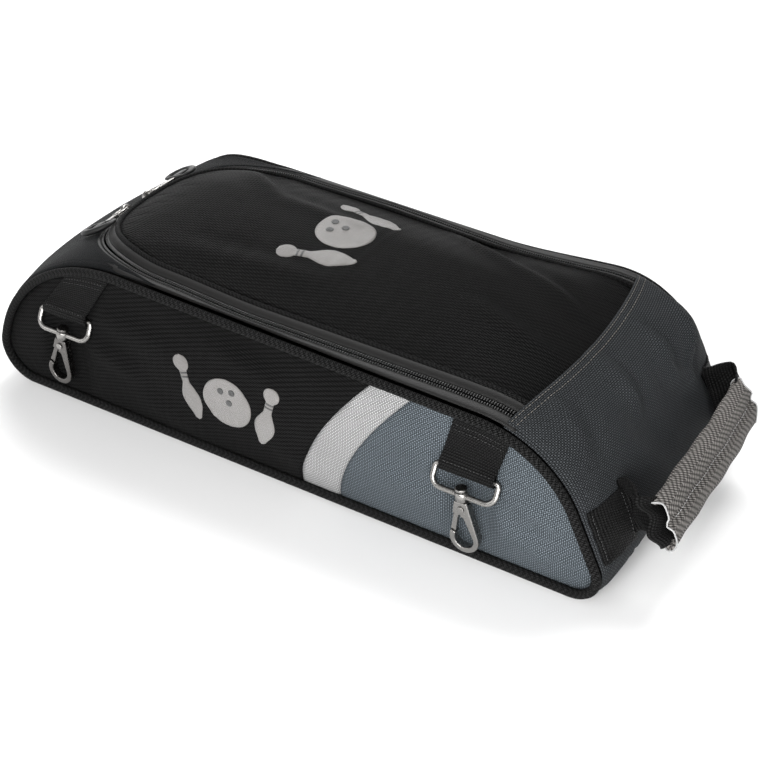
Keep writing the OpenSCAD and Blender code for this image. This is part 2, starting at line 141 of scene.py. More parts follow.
def quads(rows, cols, loop_rows=False, loop_cols=False):
    """Faces of a grid of points stored row by row."""
    r = np.arange(rows if loop_rows else rows - 1)
    c = np.arange(cols if loop_cols else cols - 1)
    r, c = [a.ravel() for a in np.meshgrid(r, c, indexing="ij")]
    r2, c2 = (r + 1) % rows, (c + 1) % cols
    return np.stack([r * cols + c, r * cols + c2, r2 * cols + c2, r2 * cols + c], -1)


def grid_object(name, grid, along, around, loop_rows=False, loop_cols=False, caps=False):
    """Object from a grid of points. along and around give the UVs in millimetres, with one more
    value than points where the grid closes on itself."""
    grid = np.asarray(grid, float)
    rows, cols = grid.shape[:2]
    faces = quads(rows, cols, loop_rows, loop_cols)
    r, c = np.divmod(faces[:, 0], cols)
    u = np.asarray(along)[np.stack([r, r, r + 1, r + 1], -1)]
    v = np.asarray(around)[np.stack([c, c + 1, c + 1, c], -1)]
    uvs = np.stack([u, v], -1).reshape(-1, 2) * MM
    faces = faces.tolist()
    if caps:
        faces.append(list(range(cols))[::-1])
        faces.append(list(range((rows - 1) * cols, rows * cols)))
        uvs = np.concatenate([uvs, np.zeros((2 * cols, 2))])
    return as_object(name, grid.reshape(-1, 3), faces, uvs)


def lengths(path):
    """Distance along a path of points, starting at 0."""
    steps = np.linalg.norm(np.diff(path, axis=0), axis=1)
    return np.concatenate([[0], np.cumsum(steps)])


def on_path(at, t, path):
    """Points at the distances at along a path whose own points lie at the distances t."""
    return np.stack([np.interp(at, t, path[:, k]) for k in range(path.shape[1])], -1)


def resampled(path, count):
    """Path of count evenly spaced points along another."""
    path = np.asarray(path, float)
    t = lengths(path)
    return on_path(np.linspace(0, t[-1], count), t, path)


def rounded_path(points, count):
    """Smooth path of count points through the given points."""
    path = np.asarray(points, float)
    for _ in range(3):
        quarter = path[:-1] * 0.75 + path[1:] * 0.25
        three = path[:-1] * 0.25 + path[1:] * 0.75
        inner = np.stack([quarter, three], 1).reshape(-1, path.shape[1])
        path = np.concatenate([path[:1], inner, path[-1:]])
    return resampled(path, count)


def tube_grid(path, up, radii, sides=12, closed=False, flat=1.0):
    """Rings of points round a path. flat scales the radius along up."""
    path = np.asarray(path, float)
    ahead = np.roll(path, -1, 0) - np.roll(path, 1, 0)
    if not closed:
        ahead[0], ahead[-1] = path[1] - path[0], path[-1] - path[-2]
    ahead /= np.linalg.norm(ahead, axis=1)[:, None]
    side = np.cross(ahead, up)
    side /= np.linalg.norm(side, axis=1)[:, None]
    over = np.cross(side, ahead)
    a = np.linspace(0, 2 * math.pi, sides, endpoint=False)
    radii = np.broadcast_to(np.asarray(radii, float), (len(path),))[:, None, None]
    ring = np.cos(a)[None, :, None] * side[:, None] + flat * np.sin(a)[None, :, None] * over[:, None]
    return path[:, None] + radii * ring


def tube(name, path, up, radii, sides=12, closed=False, flat=1.0):
    """Tube along a path, with its ends capped unless the path is closed."""
    grid = tube_grid(path, up, radii, sides, closed, flat)
    loop = np.concatenate([path, path[:1]]) if closed else path
    girth = 2 * math.pi * np.max(radii)
    return grid_object(
        name, grid, lengths(loop), np.linspace(0, girth, sides + 1), closed, True, not closed
    )


def rounded_box(size, power=0.3, rows=12, cols=24):
    """Points and faces of a box with rounded edges, centred on the origin."""
    def bend(value):
        return np.sign(value) * np.abs(value) ** power

    v = np.linspace(-math.pi / 2, math.pi / 2, rows + 1)[1:-1]
    u = np.linspace(0, 2 * math.pi, cols, endpoint=False)
    v, u = np.meshgrid(v, u, indexing="ij")
    around = bend(np.cos(v))
    body = np.stack([around * bend(np.cos(u)), around * bend(np.sin(u)), bend(np.sin(v))], -1)
    points = np.concatenate([body.reshape(-1, 3), [[0, 0, -1], [0, 0, 1]]])
    count = (rows - 1) * cols
    faces = quads(rows - 1, cols, loop_cols=True).tolist()
    faces += [[k, count, (k + 1) % cols] for k in range(cols)]
    top = count - cols
    faces += [[top + k, top + (k + 1) % cols, count + 1] for k in range(cols)]
    return points * np.array(size) / 2, faces


def joined(name, parts):
    """One object from a list of (points, faces)."""
    points, faces, start = [], [], 0
    for part_points, part_faces in parts:
        points.append(np.asarray(part_points, float))
        faces += [[start + k for k in f] for f in part_faces]
        start += len(part_points)
    return as_object(name, np.concatenate(points), faces)


def tube_part(path, up, radii, sides=12, closed=False, flat=1.0):
    """Points and faces of a tube, for joined()."""
    grid = tube_grid(path, up, radii, sides, closed, flat)
    rows = len(grid)
    faces = quads(rows, sides, closed, True).tolist()
    if not closed:
        faces += [list(range(sides))[::-1], list(range((rows - 1) * sides, rows * sides))]
    return grid.reshape(-1, 3), faces


def repeated(part, middles, axes):
    """Points and faces of a small part, copied to each middle and turned to its three axes."""
    points, faces = part
    copies = middles[:, None] + np.einsum("pk,nkd->npd", points, axes)
    every = [[n * len(points) + i for i in f] for n in range(len(middles)) for f in faces]
    return copies.reshape(-1, 3), every


def placed(part, matrix):
    """A part's points moved by a 4x4 matrix."""
    points = np.asarray(part[0], float)
    return points @ matrix[:3, :3].T + matrix[:3, 3], part[1]


def thicken(obj, thickness):
    """Gives a sheet a thickness, half to each side."""
    solid = obj.modifiers.new("Thickness", "SOLIDIFY")
    solid.thickness = thickness * MM
    solid.offset = 0
    return obj


def coordinates(obj):
    """An object's points in millimetres."""
    return np.array([v.co for v in obj.data.vertices], float) / MM


def set_coordinates(obj, points):
    obj.data.vertices.foreach_set("co", (np.asarray(points) * MM).astype(np.float32).ravel())
    obj.data.update()


# ---------------------------------------------------------------- the bag's outline


def hull(points):
    """Corners of the convex hull of 2-D points, anticlockwise."""
    points = np.unique(np.round(points, 4), axis=0)
    return points[convex_hull_2d([Vector(p) for p in points])]


class Border:
    """Closed convex outline, run clockwise, with a smooth outward normal at every point."""

    def __init__(self, corners, start, step=1.0):
        corners = np.asarray(corners)[::-1]
        first = np.argmin(np.linalg.norm(corners - start, axis=1))
        corners = np.roll(corners, -first, 0)
        closed = np.concatenate([corners, corners[:1]])
        self.length = lengths(closed)[-1]
        count = int(self.length / step)
        self.points = resampled(closed, count + 1)[:-1]
        self.t = np.arange(count) * self.length / count
        ahead = np.roll(self.points, -1, 0) - np.roll(self.points, 1, 0)
        smooth = sum(np.roll(ahead, k, 0) for k in range(-3, 4))
        smooth /= np.linalg.norm(smooth, axis=1)[:, None]
        self.normals = np.stack([-smooth[:, 1], smooth[:, 0]], -1)

    def at(self, t, h=0.0):
        """Points at distance t along the border, moved outwards by h, and their normals."""
        t = np.mod(t, self.length)
        point = [np.interp(t, self.t, self.points[:, k], period=self.length) for k in (0, 1)]
        normal = [np.interp(t, self.t, self.normals[:, k], period=self.length) for k in (0, 1)]
        point, normal = np.stack(point, -1), np.stack(normal, -1)
        return point + np.asarray(h)[..., None] * normal, normal

    def inset(self, h):
        """The same border moved inwards by h."""
        return Border((self.points - h * self.normals)[::-1], self.points[0])

    def depth(self, points):
        """How far inside the border each point lies, and the nearest place on the border."""
        offsets = (self.points * self.normals).sum(1)
        gaps = offsets[None] - points @ self.normals.T
        nearest = gaps.argmin(1)
        gap = gaps[np.arange(len(points)), nearest]
        return gap, points + gap[:, None] * self.normals[nearest]


piping_points = coordinates(frame["nodes"]["front_piping"])
outline = Border(hull(piping_points[:, [0, 2]]), np.array([BASE_X[0], 0.0]))

# Distances along the outline of its main places
top_half = outline.points[:, 1] > 60
T_TOE_BASE = 0.0
from_handle_base = np.linalg.norm(outline.points - [BASE_X[1], 0.0], axis=1)
T_HANDLE_BASE = float(outline.t[np.argmin(from_handle_base)])


def top_t(x):
    """Distance along the outline of the point of its top line at x."""
    return np.interp(x, outline.points[top_half, 0], outline.t[top_half])


# ---------------------------------------------------------------- the plane of the zip


def ramp(value, start, end):
    """0 before start and 1 after end, with a smooth rise between."""
    k = np.clip((value - start) / (end - start), 0, 1)
    return k * k * (3 - 2 * k)


ALONG = np.array([math.cos(ZIP_TILT), math.sin(ZIP_TILT)])
plane_s = (outline.points - TOE_CENTRE) @ ALONG
upper = np.flatnonzero(top_half)
upper = upper[np.argsort(plane_s[upper])]


def plane_t(s):
    """Distance along the outline of the point above s in the plane of the zip."""
    return np.interp(s, plane_s[upper], outline.t[upper])


def on_top(s, y, h):
    """3-D points above (s, y) in the plane of the zip, h above the outline."""
    point, _ = outline.at(plane_t(s), h)
    s, y, h = np.broadcast_arrays(s, y, h)
    return np.stack([point[..., 0], y, point[..., 1]], -1)


def along_s(x):
    """Place along the plane of the zip of the outline's top line at x."""
    return np.interp(x, outline.points[upper, 0], plane_s[upper])


def seam_x(y):
    """Where the end panel is sewn over the lid: a line that bows towards the handle."""
    return 167.0 + 8.0 * (1 - (np.asarray(y) / PANEL_Y) ** 2)


def zip_pull_in(s):
    """How far the zip's legs lie inside their straight line, which the soft bag bends a little."""
    near_toe = ramp(s, U_CENTRE, U_CENTRE + 60)
    near_end = np.clip((s - 150) / 130, 0, 1)
    return 2.5 * near_toe - 6.0 * near_toe * near_end


class ZipLine:
    """Stations along the zip's U, from the front leg's end round the toe to the rear leg's end."""

    UNDER_SEAM = 6.0
    LIMIT = PANEL_Y - 0.3

    def __init__(self, step):
        s_end = float(along_s(seam_x(ZIP_HALF) + self.UNDER_SEAM))
        leg = np.linspace(s_end, U_CENTRE, int((s_end - U_CENTRE) / step), endpoint=False)
        turn = np.radians(np.linspace(270, 90, int(math.pi * ZIP_HALF / step)))
        back = leg[::-1]
        straight, bend = np.zeros_like(leg), np.full_like(turn, U_CENTRE)
        self.centre = np.concatenate([leg, bend, back])
        self.dir_s = np.concatenate([straight, np.cos(turn), straight])
        self.dir_y = np.concatenate([straight - 1, np.sin(turn), straight + 1])
        self.half = ZIP_HALF + np.concatenate([zip_pull_in(leg), bend * 0, zip_pull_in(back)])
        self.length = lengths(self.points(0, 2))

    def points(self, across, h):
        """A line along the zip, across further out than its middle and h above the outline."""
        reach = self.half + across
        s = self.centre + reach * self.dir_s
        y = np.clip(reach * self.dir_y, -self.LIMIT, self.LIMIT)
        return on_top(s, y, h)

    def sweep(self, name, profile, closed=True):
        """Object with the given cross-section of (across, h) pairs along the zip."""
        grid = np.stack([self.points(a, h) for a, h in profile], 1)
        loop = profile + profile[:1] if closed else profile
        around = lengths(np.array(loop, float))
        return grid_object(name, grid, self.length, around, False, closed, closed)


# ---------------------------------------------------------------- the stuffed bag's slump


def bell(value, middle, width):
    """1 at the middle, falling away smoothly over the width."""
    return np.exp(-(((value - middle) / width) ** 2))


def toe_swell(x, y, z):
    """Moves in x and z of the full toe, away from the centre of its bend."""
    from_centre = np.stack([x, z], -1) - TOE_CENTRE
    reach = np.linalg.norm(from_centre, axis=1)
    angle = np.degrees(np.arctan2(from_centre[:, 1], -from_centre[:, 0]))
    middle = 1 - np.clip(np.abs(y) / PANEL_Y, 0, 1) ** 2.5
    toe = TOE_SWELL * middle * bell(angle, 30, 17) * ramp(reach, 60, 110)
    return toe[:, None] * from_centre / reach[:, None]


def end_swell(x, y, z):
    """Moves in x and z of the full upper end, out from the handle end's face."""
    face = np.stack([x, z], -1) - ANCHOR
    down, out = face @ FACE_DIR, face @ FACE_OUT
    wide = 1 - np.clip(np.abs(y) / PANEL_Y, 0, 1) ** 6
    end = END_SWELL * wide * bell(down, -52, 22) * ramp(out, -60, -10) * ramp(out, 28, 16)
    return (end * ramp(y, -150, 70))[:, None] * FACE_OUT


def slump(points):
    """Where a loosely stuffed bag's fabric lies: full at the toe and the upper end, low along the
    rear of the top."""
    x, y, z = points.T
    points = points.copy()
    points[:, [0, 2]] += toe_swell(x, y, z)
    points[:, [0, 2]] += end_swell(x, y, z)
    low = ramp(y, 20, 95) * ramp(z, 82, 116) * ramp(x, -200, -130) * ramp(x, 190, 60)
    points[:, 2] -= REAR_SAG * low
    return points


def settle():
    """Moves every soft piece to where the stuffed bag's fabric lies."""
    for obj in bpy.data.objects:
        if obj.type == "MESH" and obj.name not in frame["nodes"] and not obj.name.startswith(FIRM):
            set_coordinates(obj, slump(coordinates(obj)))


# ---------------------------------------------------------------- sheets of fabric


def crease(points, start, end, width, height):
    """Height over 2-D points of a soft fold: a ridge beside a shallow valley, fading at its ends."""
    start, end = np.asarray(start, float), np.asarray(end, float)
    run = end - start
    length = np.linalg.norm(run)
    along = ((points - start) @ run) / length**2
    across = ((points - start) @ np.array([-run[1], run[0]])) / length / width
    fade = np.where((along > 0) & (along < 1), np.sin(np.pi * np.clip(along, 0, 1)), 0)
    return height * fade * (bell(across, 0, 1) - 0.6 * bell(across, 1.6, 1))


def trimmed(flat, faces, border):
    """Keeps the faces inside a border, moves the cut edge onto it and drops unused points.
    Returns the kept points' numbers, the moved 2-D points, the faces and which points are on
    the edge."""
    depth, nearest = border.depth(flat)
    faces = faces[(depth[faces] > -0.3 * GRID_STEP).all(1)]
    used = np.unique(faces)
    number = np.full(len(flat), -1)
    number[used] = np.arange(len(used))
    edge = depth[used] < 0.7 * GRID_STEP
    moved = np.where(edge[:, None], nearest[used], flat[used])
    return used, moved, number[faces], edge


CLOTH_SETTINGS = {
    "quality": 6,
    "mass": 0.25,
    "tension_stiffness": 25,
    "compression_stiffness": 25,
    "shear_stiffness": 8,
    "bending_stiffness": 1.5,
    "air_damping": 3,
    "vertex_group_mass": "sewn",
    "use_pressure": True,
}
CLOTH_FRAMES = 30


def drape(obj, pinned, outward, gravity, swell):
    """Cloth simulation of a padded sheet that is sewn along its pinned points and pushed outwards
    by what is in the bag. swell is how much larger the cut fabric is than its place."""
    mean_normal = sum((p.normal * p.area for p in obj.data.polygons), Vector())
    outside = 1 if mean_normal.dot(Vector(outward)) >= 0 else -1
    scene = bpy.context.scene
    group = obj.vertex_groups.new(name="sewn")
    group.add([int(k) for k in pinned], 1.0, "REPLACE")
    cloth = obj.modifiers.new("Cloth", "CLOTH")
    for key, value in CLOTH_SETTINGS.items():
        setattr(cloth.settings, key, value)
    cloth.settings.shrink_min = -swell
    cloth.settings.shrink_max = -swell
    cloth.settings.uniform_pressure_force = FULLNESS * outside
    cloth.settings.effector_weights.gravity = gravity
    cloth.point_cache.frame_start = 1
    cloth.point_cache.frame_end = CLOTH_FRAMES
    for number in range(1, CLOTH_FRAMES + 1):
        scene.frame_set(number)
    evaluated = obj.evaluated_get(bpy.context.evaluated_depsgraph_get())
    settled = np.array([v.co for v in evaluated.data.vertices], float) / MM
    obj.modifiers.remove(cloth)
    scene.frame_set(1)
    set_coordinates(obj, settled)


def press_folds(obj, places, table, outward):
    """Adds soft creases to a settled sheet, along its own normals. The table has a start, end,
    width and height for each, in the 2-D coordinates that places gives for the points."""
    heights = sum(crease(places, *row) for row in table)
    normals = np.array([v.normal for v in obj.data.vertices])
    normals *= np.sign(normals @ np.array(outward))[:, None]
    set_coordinates(obj, coordinates(obj) + heights[:, None] * normals)


# ---------------------------------------------------------------- materials


class Value:
    """A node's output in a material, which takes part in sums, products and powers."""

    def __init__(self, shader, socket):
        self.shader = shader
        self.socket = socket

    def apply(self, operation, other=0.0):
        made = self.shader.node("ShaderNodeMath", {0: self, 1: other}, operation=operation)
        return Value(self.shader, made.outputs[0])

    def __add__(self, other):
        return self.apply("ADD", other)

    def __sub__(self, other):
        return self.apply("SUBTRACT", other)

    def __mul__(self, other):
        return self.apply("MULTIPLY", other)

    def __pow__(self, other):
        return self.apply("POWER", other)

    def __abs__(self):
        return self.apply("ABSOLUTE")

    def arch(self):
        """Rounded hump from 0 to 1 and back over each whole step of the value."""
        return abs((self * math.pi).apply("SINE"))

    def parity(self):
        """0 on even whole steps of the value and 1 on odd ones."""
        return self.apply("FLOOR").apply("FLOORED_MODULO", 2.0)


class Shader:
    """Node material. Inputs are values, node sockets or plain numbers."""

    def __init__(self, name):
        self.material = bpy.data.materials.new(name)
        self.material.use_nodes = True
        self.tree = self.material.node_tree
        self.surface = self.tree.nodes["Principled BSDF"]

    def put(self, socket, value):
        source = value.socket if isinstance(value, Value) else value
        if isinstance(source, bpy.types.NodeSocket):
            self.tree.links.new(source, socket)
        else:
            socket.default_value = source

    def node(self, kind, inputs, **settings):
        made = self.tree.nodes.new(kind)
        for key, value in settings.items():
            setattr(made, key, value)
        for key, value in inputs.items():
            self.put(made.inputs[key], value)
        return made

    def mix(self, factor, a, b):
        """Colour between a and b."""
        inputs = {0: factor, 6: a, 7: b}
        return self.node("ShaderNodeMix", inputs, data_type="RGBA").outputs[2]

    def uv(self):
        """The fabric's own coordinates, in metres."""
        place = self.node("ShaderNodeTexCoord", {}).outputs["UV"]
        split = self.node("ShaderNodeSeparateXYZ", {0: place})
        return Value(self, split.outputs[0]), Value(self, split.outputs[1])

    def noise(self, scale, detail=3.0):
        """Noise around 0.5 over the object's place, scale being its number of lumps a metre."""
        place = self.node("ShaderNodeTexCoord", {}).outputs["Object"]
        inputs = {"Vector": place, "Scale": scale, "Detail": detail, "Roughness": 0.55}
        return Value(self, self.node("ShaderNodeTexNoise", inputs).outputs["Fac"])

    def bump(self, height, depth, **more):
        inputs = {"Height": height, "Distance": depth} | more
        return self.node("ShaderNodeBump", inputs).outputs[0]

    def finish(self, **inputs):
        for key, value in inputs.items():
            self.put(self.surface.inputs[key.replace("_", " ")], value)
        return self.material


def grey(value, tint=(1.0, 1.0, 1.0)):
    return tuple(value * t for t in tint) + (1.0,)


def basket(shader, pitch):
    """Height of a plain weave, and which of its two yarns is on top."""
    across, along = [place * (1 / pitch) for place in shader.uv()]
    top = abs(across.parity() - along.parity())
    a, b = across.arch(), along.arch()
    warp = a**0.5 * (b * 0.6 + 0.4)
    weft = b**0.5 * (a * 0.6 + 0.4)
    return warp * top + weft * (top * -1.0 + 1.0), top


def twill(shader, pitch, slant=1.0, lane=0.0, lengthwise=False):
    """Height of diagonal ribs across the cloth, or nearly along it if lengthwise. With a lane
    width the slant flips from lane to lane: herringbone."""
    u, v = shader.uv()
    if lengthwise:
        u, v = v, u
    if lane:
        v = v.apply("PINGPONG", lane)
    across = v * slant
    rib = ((u + across) * (1 / pitch)).arch() ** 0.6
    yarn = ((u - across) * (0.5 / pitch)).arch()
    return rib * (yarn * 0.35 + 0.65), yarn


def fabric(name, dark, light, weave, depth):
    """Woven cloth: painted shade in the gaps and painted highlight on the yarn crowns, lighter on
    one of the two yarns as painted sheen; large soft patches and small wrinkles.
    """
    shader = Shader(name)
    height, top = weave(shader)
    patches = shader.noise(14.0) * 0.5 + 0.75
    speckle = shader.noise(900.0, 2.0) * 0.6 + 0.7
    # Painted light: yarn crowns lighter as painted highlight, gaps darker as painted shade, one yarn
    # set lighter as painted sheen
    painted_crown_highlight = (height * 0.8 + top * 0.2) ** 2.2
    wrinkles = shader.bump(shader.noise(70.0, 2.0), 0.0006)
    return shader.finish(
        Base_Color=shader.mix(painted_crown_highlight * patches * speckle, dark, light), Roughness=0.55,
        Normal=shader.bump(height, depth, Strength=0.9, Normal=wrinkles),
        Sheen_Weight=0.01, Sheen_Roughness=0.4, Specular_IOR_Level=0.02,
    )


def plain(name, colour, rough, metal=0.0, grain=300.0, depth=0.00005, wear=0.1, coat=0.0):
    """Smooth material with slight grain in its colour, gloss and surface."""
    shader = Shader(name)
    spots = shader.noise(grain)
    worn = shader.mix(shader.noise(40.0) * (2 * wear), colour, grey(1.4 * colour[0] + 0.004))
    return shader.finish(
        Base_Color=worn, Roughness=spots * 0.16 + (rough - 0.08), Metallic=metal,
        Coat_Weight=coat, Normal=shader.bump(spots, depth), Specular_IOR_Level=0.25,
    )


def webbing(name, dark, light, rib):
    """Ribbed strap: ribs across it and fine yarns along each rib, its colour lighter on the rib
    crowns as painted highlight and darker between them as painted shade.
    """
    shader = Shader(name)
    u, v = shader.uv()
    ribs = u * (1 / rib)
    yarns = v * (1 / (0.8 * rib)) + ribs.parity() * 0.5
    height = ribs.arch() ** 0.5 * (yarns.arch() * 0.55 + 0.45)
    # Painted highlight on the rib crowns and painted shade between them, with random tone
    share = height**2.4 * (shader.noise(40.0) + 0.4)
    return shader.finish(
        Base_Color=shader.mix(share, dark, light), Roughness=0.5, Sheen_Weight=0.01,
        Sheen_Roughness=0.4, Normal=shader.bump(height, 0.0009), Specular_IOR_Level=0.07,
    )


def satin(name, light, dark):
    """Embroidery thread: fine glossy lines, one after another along u, each lighter on its crown as
    painted highlight.
    """
    shader = Shader(name)
    u, _ = shader.uv()
    line = ((u + shader.noise(500.0, 1.0) * 0.0006) * (1 / 0.0005)).arch()
    # Painted highlight along each line's crown, mixed with random tone
    share = line * 0.5 + shader.noise(120.0) * 0.5
    return shader.finish(
        Base_Color=shader.mix(share, dark, light), Roughness=0.42,
        Normal=shader.bump(line, 0.00025), Sheen_Weight=0.3, Anisotropic=0.5,
    )


WARM = (1.06, 1.0, 0.95)
COOL = (0.93, 1.0, 1.07)
BLUE = (0.86, 1.0, 1.12)
STEEL = (1.05, 1.0, 0.96)

# Painted shade colour of the gaps, painted highlight colour of the yarns, weave and depth of the
# weave
FABRICS = {
    "black_twill": (grey(0.0002), grey(0.012), lambda s: twill(s, 0.0017, 0.35, 0.0, True), 0.0006),
    "charcoal_weave": (grey(0.001), grey(0.075, COOL), lambda s: basket(s, 0.0012), 0.00045),
    # This copy of the charcoal weave is painted darker, as shade on the toe panel.
    "gusset_weave": (grey(0.001), grey(0.022, COOL), lambda s: basket(s, 0.0012), 0.0003),
    "blue_grey_weave": (grey(0.006, BLUE), grey(0.2, BLUE), lambda s: basket(s, 0.0013), 0.0005),
    "silver_weave": (grey(0.09), grey(0.55), lambda s: basket(s, 0.0012), 0.0004),
    "piping_black": (grey(0.0003), grey(0.024), lambda s: twill(s, 0.0019, 1.0, 0.003), 0.0008),
    "cord_black": (grey(0.0003), grey(0.018), lambda s: twill(s, 0.0016, 1.0, 0.0026), 0.0007),
    "lining_black": (grey(0.003), grey(0.02), lambda s: basket(s, 0.0006), 0.0001),
    "grip_grey": (
        grey(0.006, WARM), grey(0.26, WARM), lambda s: twill(s, 0.0024, 1.0, 0.0085), 0.0009,
    ),
}

# Colour, roughness and whatever differs from plain()
PLAINS = {
    "band_black": (grey(0.004, WARM), 0.55, {"grain": 1500.0, "depth": 0.00012}),
    "zip_teeth": (grey(0.012), 0.3, {"depth": 0.00002, "coat": 0.4}),
    "stitch_tan": (grey(0.1, (1.1, 1.0, 0.88)), 0.7, {}),
    "grip_edge": (grey(0.35), 0.8, {"grain": 900.0, "depth": 0.0003}),
    "moulded_black": (grey(0.012), 0.42, {}),
    "nickel": (grey(0.27, (1.03, 1.0, 0.96)), 0.27, {"metal": 1.0, "wear": 0.05}),
    "gunmetal": (grey(0.14, STEEL), 0.27, {"metal": 1.0, "wear": 0.05}),
    "spring_steel": (grey(0.3), 0.3, {"metal": 1.0}),
}

# Each pair of colours below is a painted shade colour and a painted highlight colour for the ribs or
# stitch lines
paint = {
    "zip_tape": webbing("zip_tape", grey(0.001), grey(0.012), 0.0009),
    "webbing_black": webbing("webbing_black", grey(0.0001), grey(0.014), 0.0021),
    "thread_light": satin("thread_light", grey(0.2, WARM), grey(0.075, WARM)),
    "thread_dark": satin("thread_dark", grey(0.01), grey(0.004)),
}
paint |= {name: fabric(name, *values) for name, values in FABRICS.items()}
paint |= {name: plain(name, colour, rough, **more) for name, (colour, rough, more) in PLAINS.items()}


def dress(obj, material, body, *hidden, slot=None):
    """Gives a piece its material, its body and the CAD nodes it takes the place of. The record's
    slot that it stands in is taken as slot but not used."""
    obj.data.materials.clear()
    obj.data.materials.append(paint[material])
    slot or material
    if body:
        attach(obj, body)
    if hidden:
        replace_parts(obj, *hidden)
    return obj


def hinge_blend(obj):
    """Bakes the transform of a piece of the lid into its mesh."""
    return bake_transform(obj)


# ---------------------------------------------------------------- side panels

STRIPE_U = 21.0
STRIPE_W = 30.0
STRAP_RISE = 38.0
STRIPE_LEAN = 56.0
STRIPE_TOP = 107.0

SIDE_CREASES = [
    ((-165, 62), (-100, 42), 9, 2.4),
    ((-150, 88), (-70, 74), 10, 1.8),
    ((-120, 25), (-40, 12), 12, 1.8),
    ((-60, 95), (20, 80), 9, 2.0),
    ((0, 30), (60, 14), 10, 1.5),
    ((70, 46), (135, 30), 10, 1.8),
    ((160, 40), (215, 18), 10, 1.8),
    ((175, 62), (212, 44), 7, 1.5),
]


def stripe_warp(u, z):
    """Moves columns at u so that they follow the stripe's curve, fading out away from it."""
    curve = STRIPE_LEAN * (np.clip(z, 0, STRIPE_TOP) / STRIPE_TOP) ** 1.75
    right = np.clip((235 - u) / (235 - STRIPE_U - STRIPE_W), 0, 1)
    return u + curve * ramp(u, -110, STRIPE_U) * right


def split_sheet(obj, keep, name):
    """Object with only the faces of a sheet whose numbers are kept."""
    mesh = obj.data
    points = coordinates(obj)
    corner_uvs = np.zeros(len(mesh.loops) * 2, np.float32)
    mesh.uv_layers[0].data.foreach_get("uv", corner_uvs)
    corner_uvs = corner_uvs.reshape(-1, 4, 2)
    faces = np.array([list(p.vertices) for p in mesh.polygons])
    used, local = np.unique(faces[keep], return_inverse=True)
    return as_object(name, points[used], local.reshape(-1, 4), corner_uvs[keep].reshape(-1, 2))


def sheet_on_border(name, flat, faces, border, place, uv):
    """Sheet trimmed to a border. place turns 2-D points and their depth into 3-D ones.
    Returns the object, the numbers of the points on the border and those of the kept points."""
    used, moved, faces, edge = trimmed(flat, faces, border)
    depth, _ = border.depth(moved)
    points = place(moved, np.maximum(depth, 0))
    corner_uvs = uv(moved)[faces].reshape(-1, 2) * MM
    obj = as_object(name, points, faces, corner_uvs)
    return obj, np.flatnonzero(edge), used


def flat_grid(x, z):
    """2-D points of a grid, and its faces."""
    xx, zz = np.meshgrid(x, z, indexing="ij")
    return np.stack([xx, zz], -1).reshape(-1, 2), quads(len(x), len(z))


def side_sheet(sign):
    """One side panel as a single padded sheet, and the column that each of its points is in.
    sign is -1 at the front and 1 at the rear."""
    flat, faces = flat_grid(np.arange(-252, 256, GRID_STEP), np.arange(-3, 130, GRID_STEP))
    columns = flat[:, 0]
    flat = np.stack([stripe_warp(columns, flat[:, 1]), flat[:, 1]], -1)

    def place(points, depth):
        bulge = 2.6 * (1 - np.exp(-depth / 16))
        return np.stack([points[:, 0], sign * (PANEL_Y - 0.4 + bulge), points[:, 1]], -1)

    border = outline.inset(3.6)
    obj, sewn, used = sheet_on_border("side_sheet", flat, faces, border, place, lambda p: p)
    drape(obj, sewn, (0, sign, 0), 0.3, 0.004)
    press_folds(obj, coordinates(obj)[:, [0, 2]], SIDE_CREASES, (0, sign, 0))
    hook_hollows(obj, sign)
    return obj, columns[used]


def hook_hollows(obj, sign):
    """Presses the sheet in behind each hook, so that the hook can turn edge on, and less deep
    behind each strap, which is sewn down tight."""
    points = coordinates(obj)
    for end, (x, z) in BARS.items():
        up = (points[:, 2] - z) / STRAP_RISE
        across = (points[:, 0] - x - STRAP_SHIFT[end] * up) / 24
        near = np.exp(-(across**6)) * ramp(up, -0.5, 0.0)
        deep = np.clip(sign * points[:, 1] - (PANEL_Y + 1.2), 0, None)
        points[:, 1] -= sign * near * deep
    half_width, half_height, middle = 18, 34, 40
    for end, (x, _) in BARS.items():
        across = (points[:, 0] - x - HOOK_SIDE[end]) / half_width
        near = np.exp(-(across**4) - ((points[:, 2] - middle) / half_height) ** 4)
        points[:, 1] += near * (sign * (PANEL_Y - 1.0) - points[:, 1])
    set_coordinates(obj, points)


def groove(obj, columns, sign):
    """Sinks the sheet a little along the stripe's two seams."""
    points = coordinates(obj)
    gap = np.minimum(np.abs(columns - STRIPE_U), np.abs(columns - STRIPE_U - STRIPE_W))
    points[:, 1] -= sign * 0.9 * bell(gap, 0, 2.0)
    set_coordinates(obj, points)


SIDE_LOOKS = {"panel": "black_twill", "stripe": "silver_weave", "corner_panel": "blue_grey_weave"}


def side_panels(side, sign):
    """The three parts of a side panel, cut from one sheet. Returns the uncut sheet."""
    sheet, columns = side_sheet(sign)
    groove(sheet, columns, sign)
    mesh_faces = np.array([list(p.vertices) for p in sheet.data.polygons])
    middle = columns[mesh_faces].mean(1)
    cuts = {
        "panel": middle < STRIPE_U,
        "stripe": (middle > STRIPE_U) & (middle < STRIPE_U + STRIPE_W),
        "corner_panel": middle > STRIPE_U + STRIPE_W,
    }
    for part, keep in cuts.items():
        node = f"{side}_{part}"
        foam = [f"{side}_foam"] if part == "panel" else []
        piece = split_sheet(sheet, np.flatnonzero(keep), f"cloth_{node}")
        dress(thicken(piece, FABRIC), SIDE_LOOKS[part], "root", node, *foam)
    return sheet


def side_piping(side, sign):
    """Fabric-covered cord that is sewn in all round a side panel."""
    path, _ = outline.at(outline.t, -3.0)
    path = np.stack([path[:, 0], np.full(len(path), sign * PIPING_Y), path[:, 1]], -1)
    piece = tube(f"cord_{side}_piping", path[::2], (0, 1, 0), PIPING_R, 16, True)
    dress(piece, "piping_black", "root", f"{side}_piping")


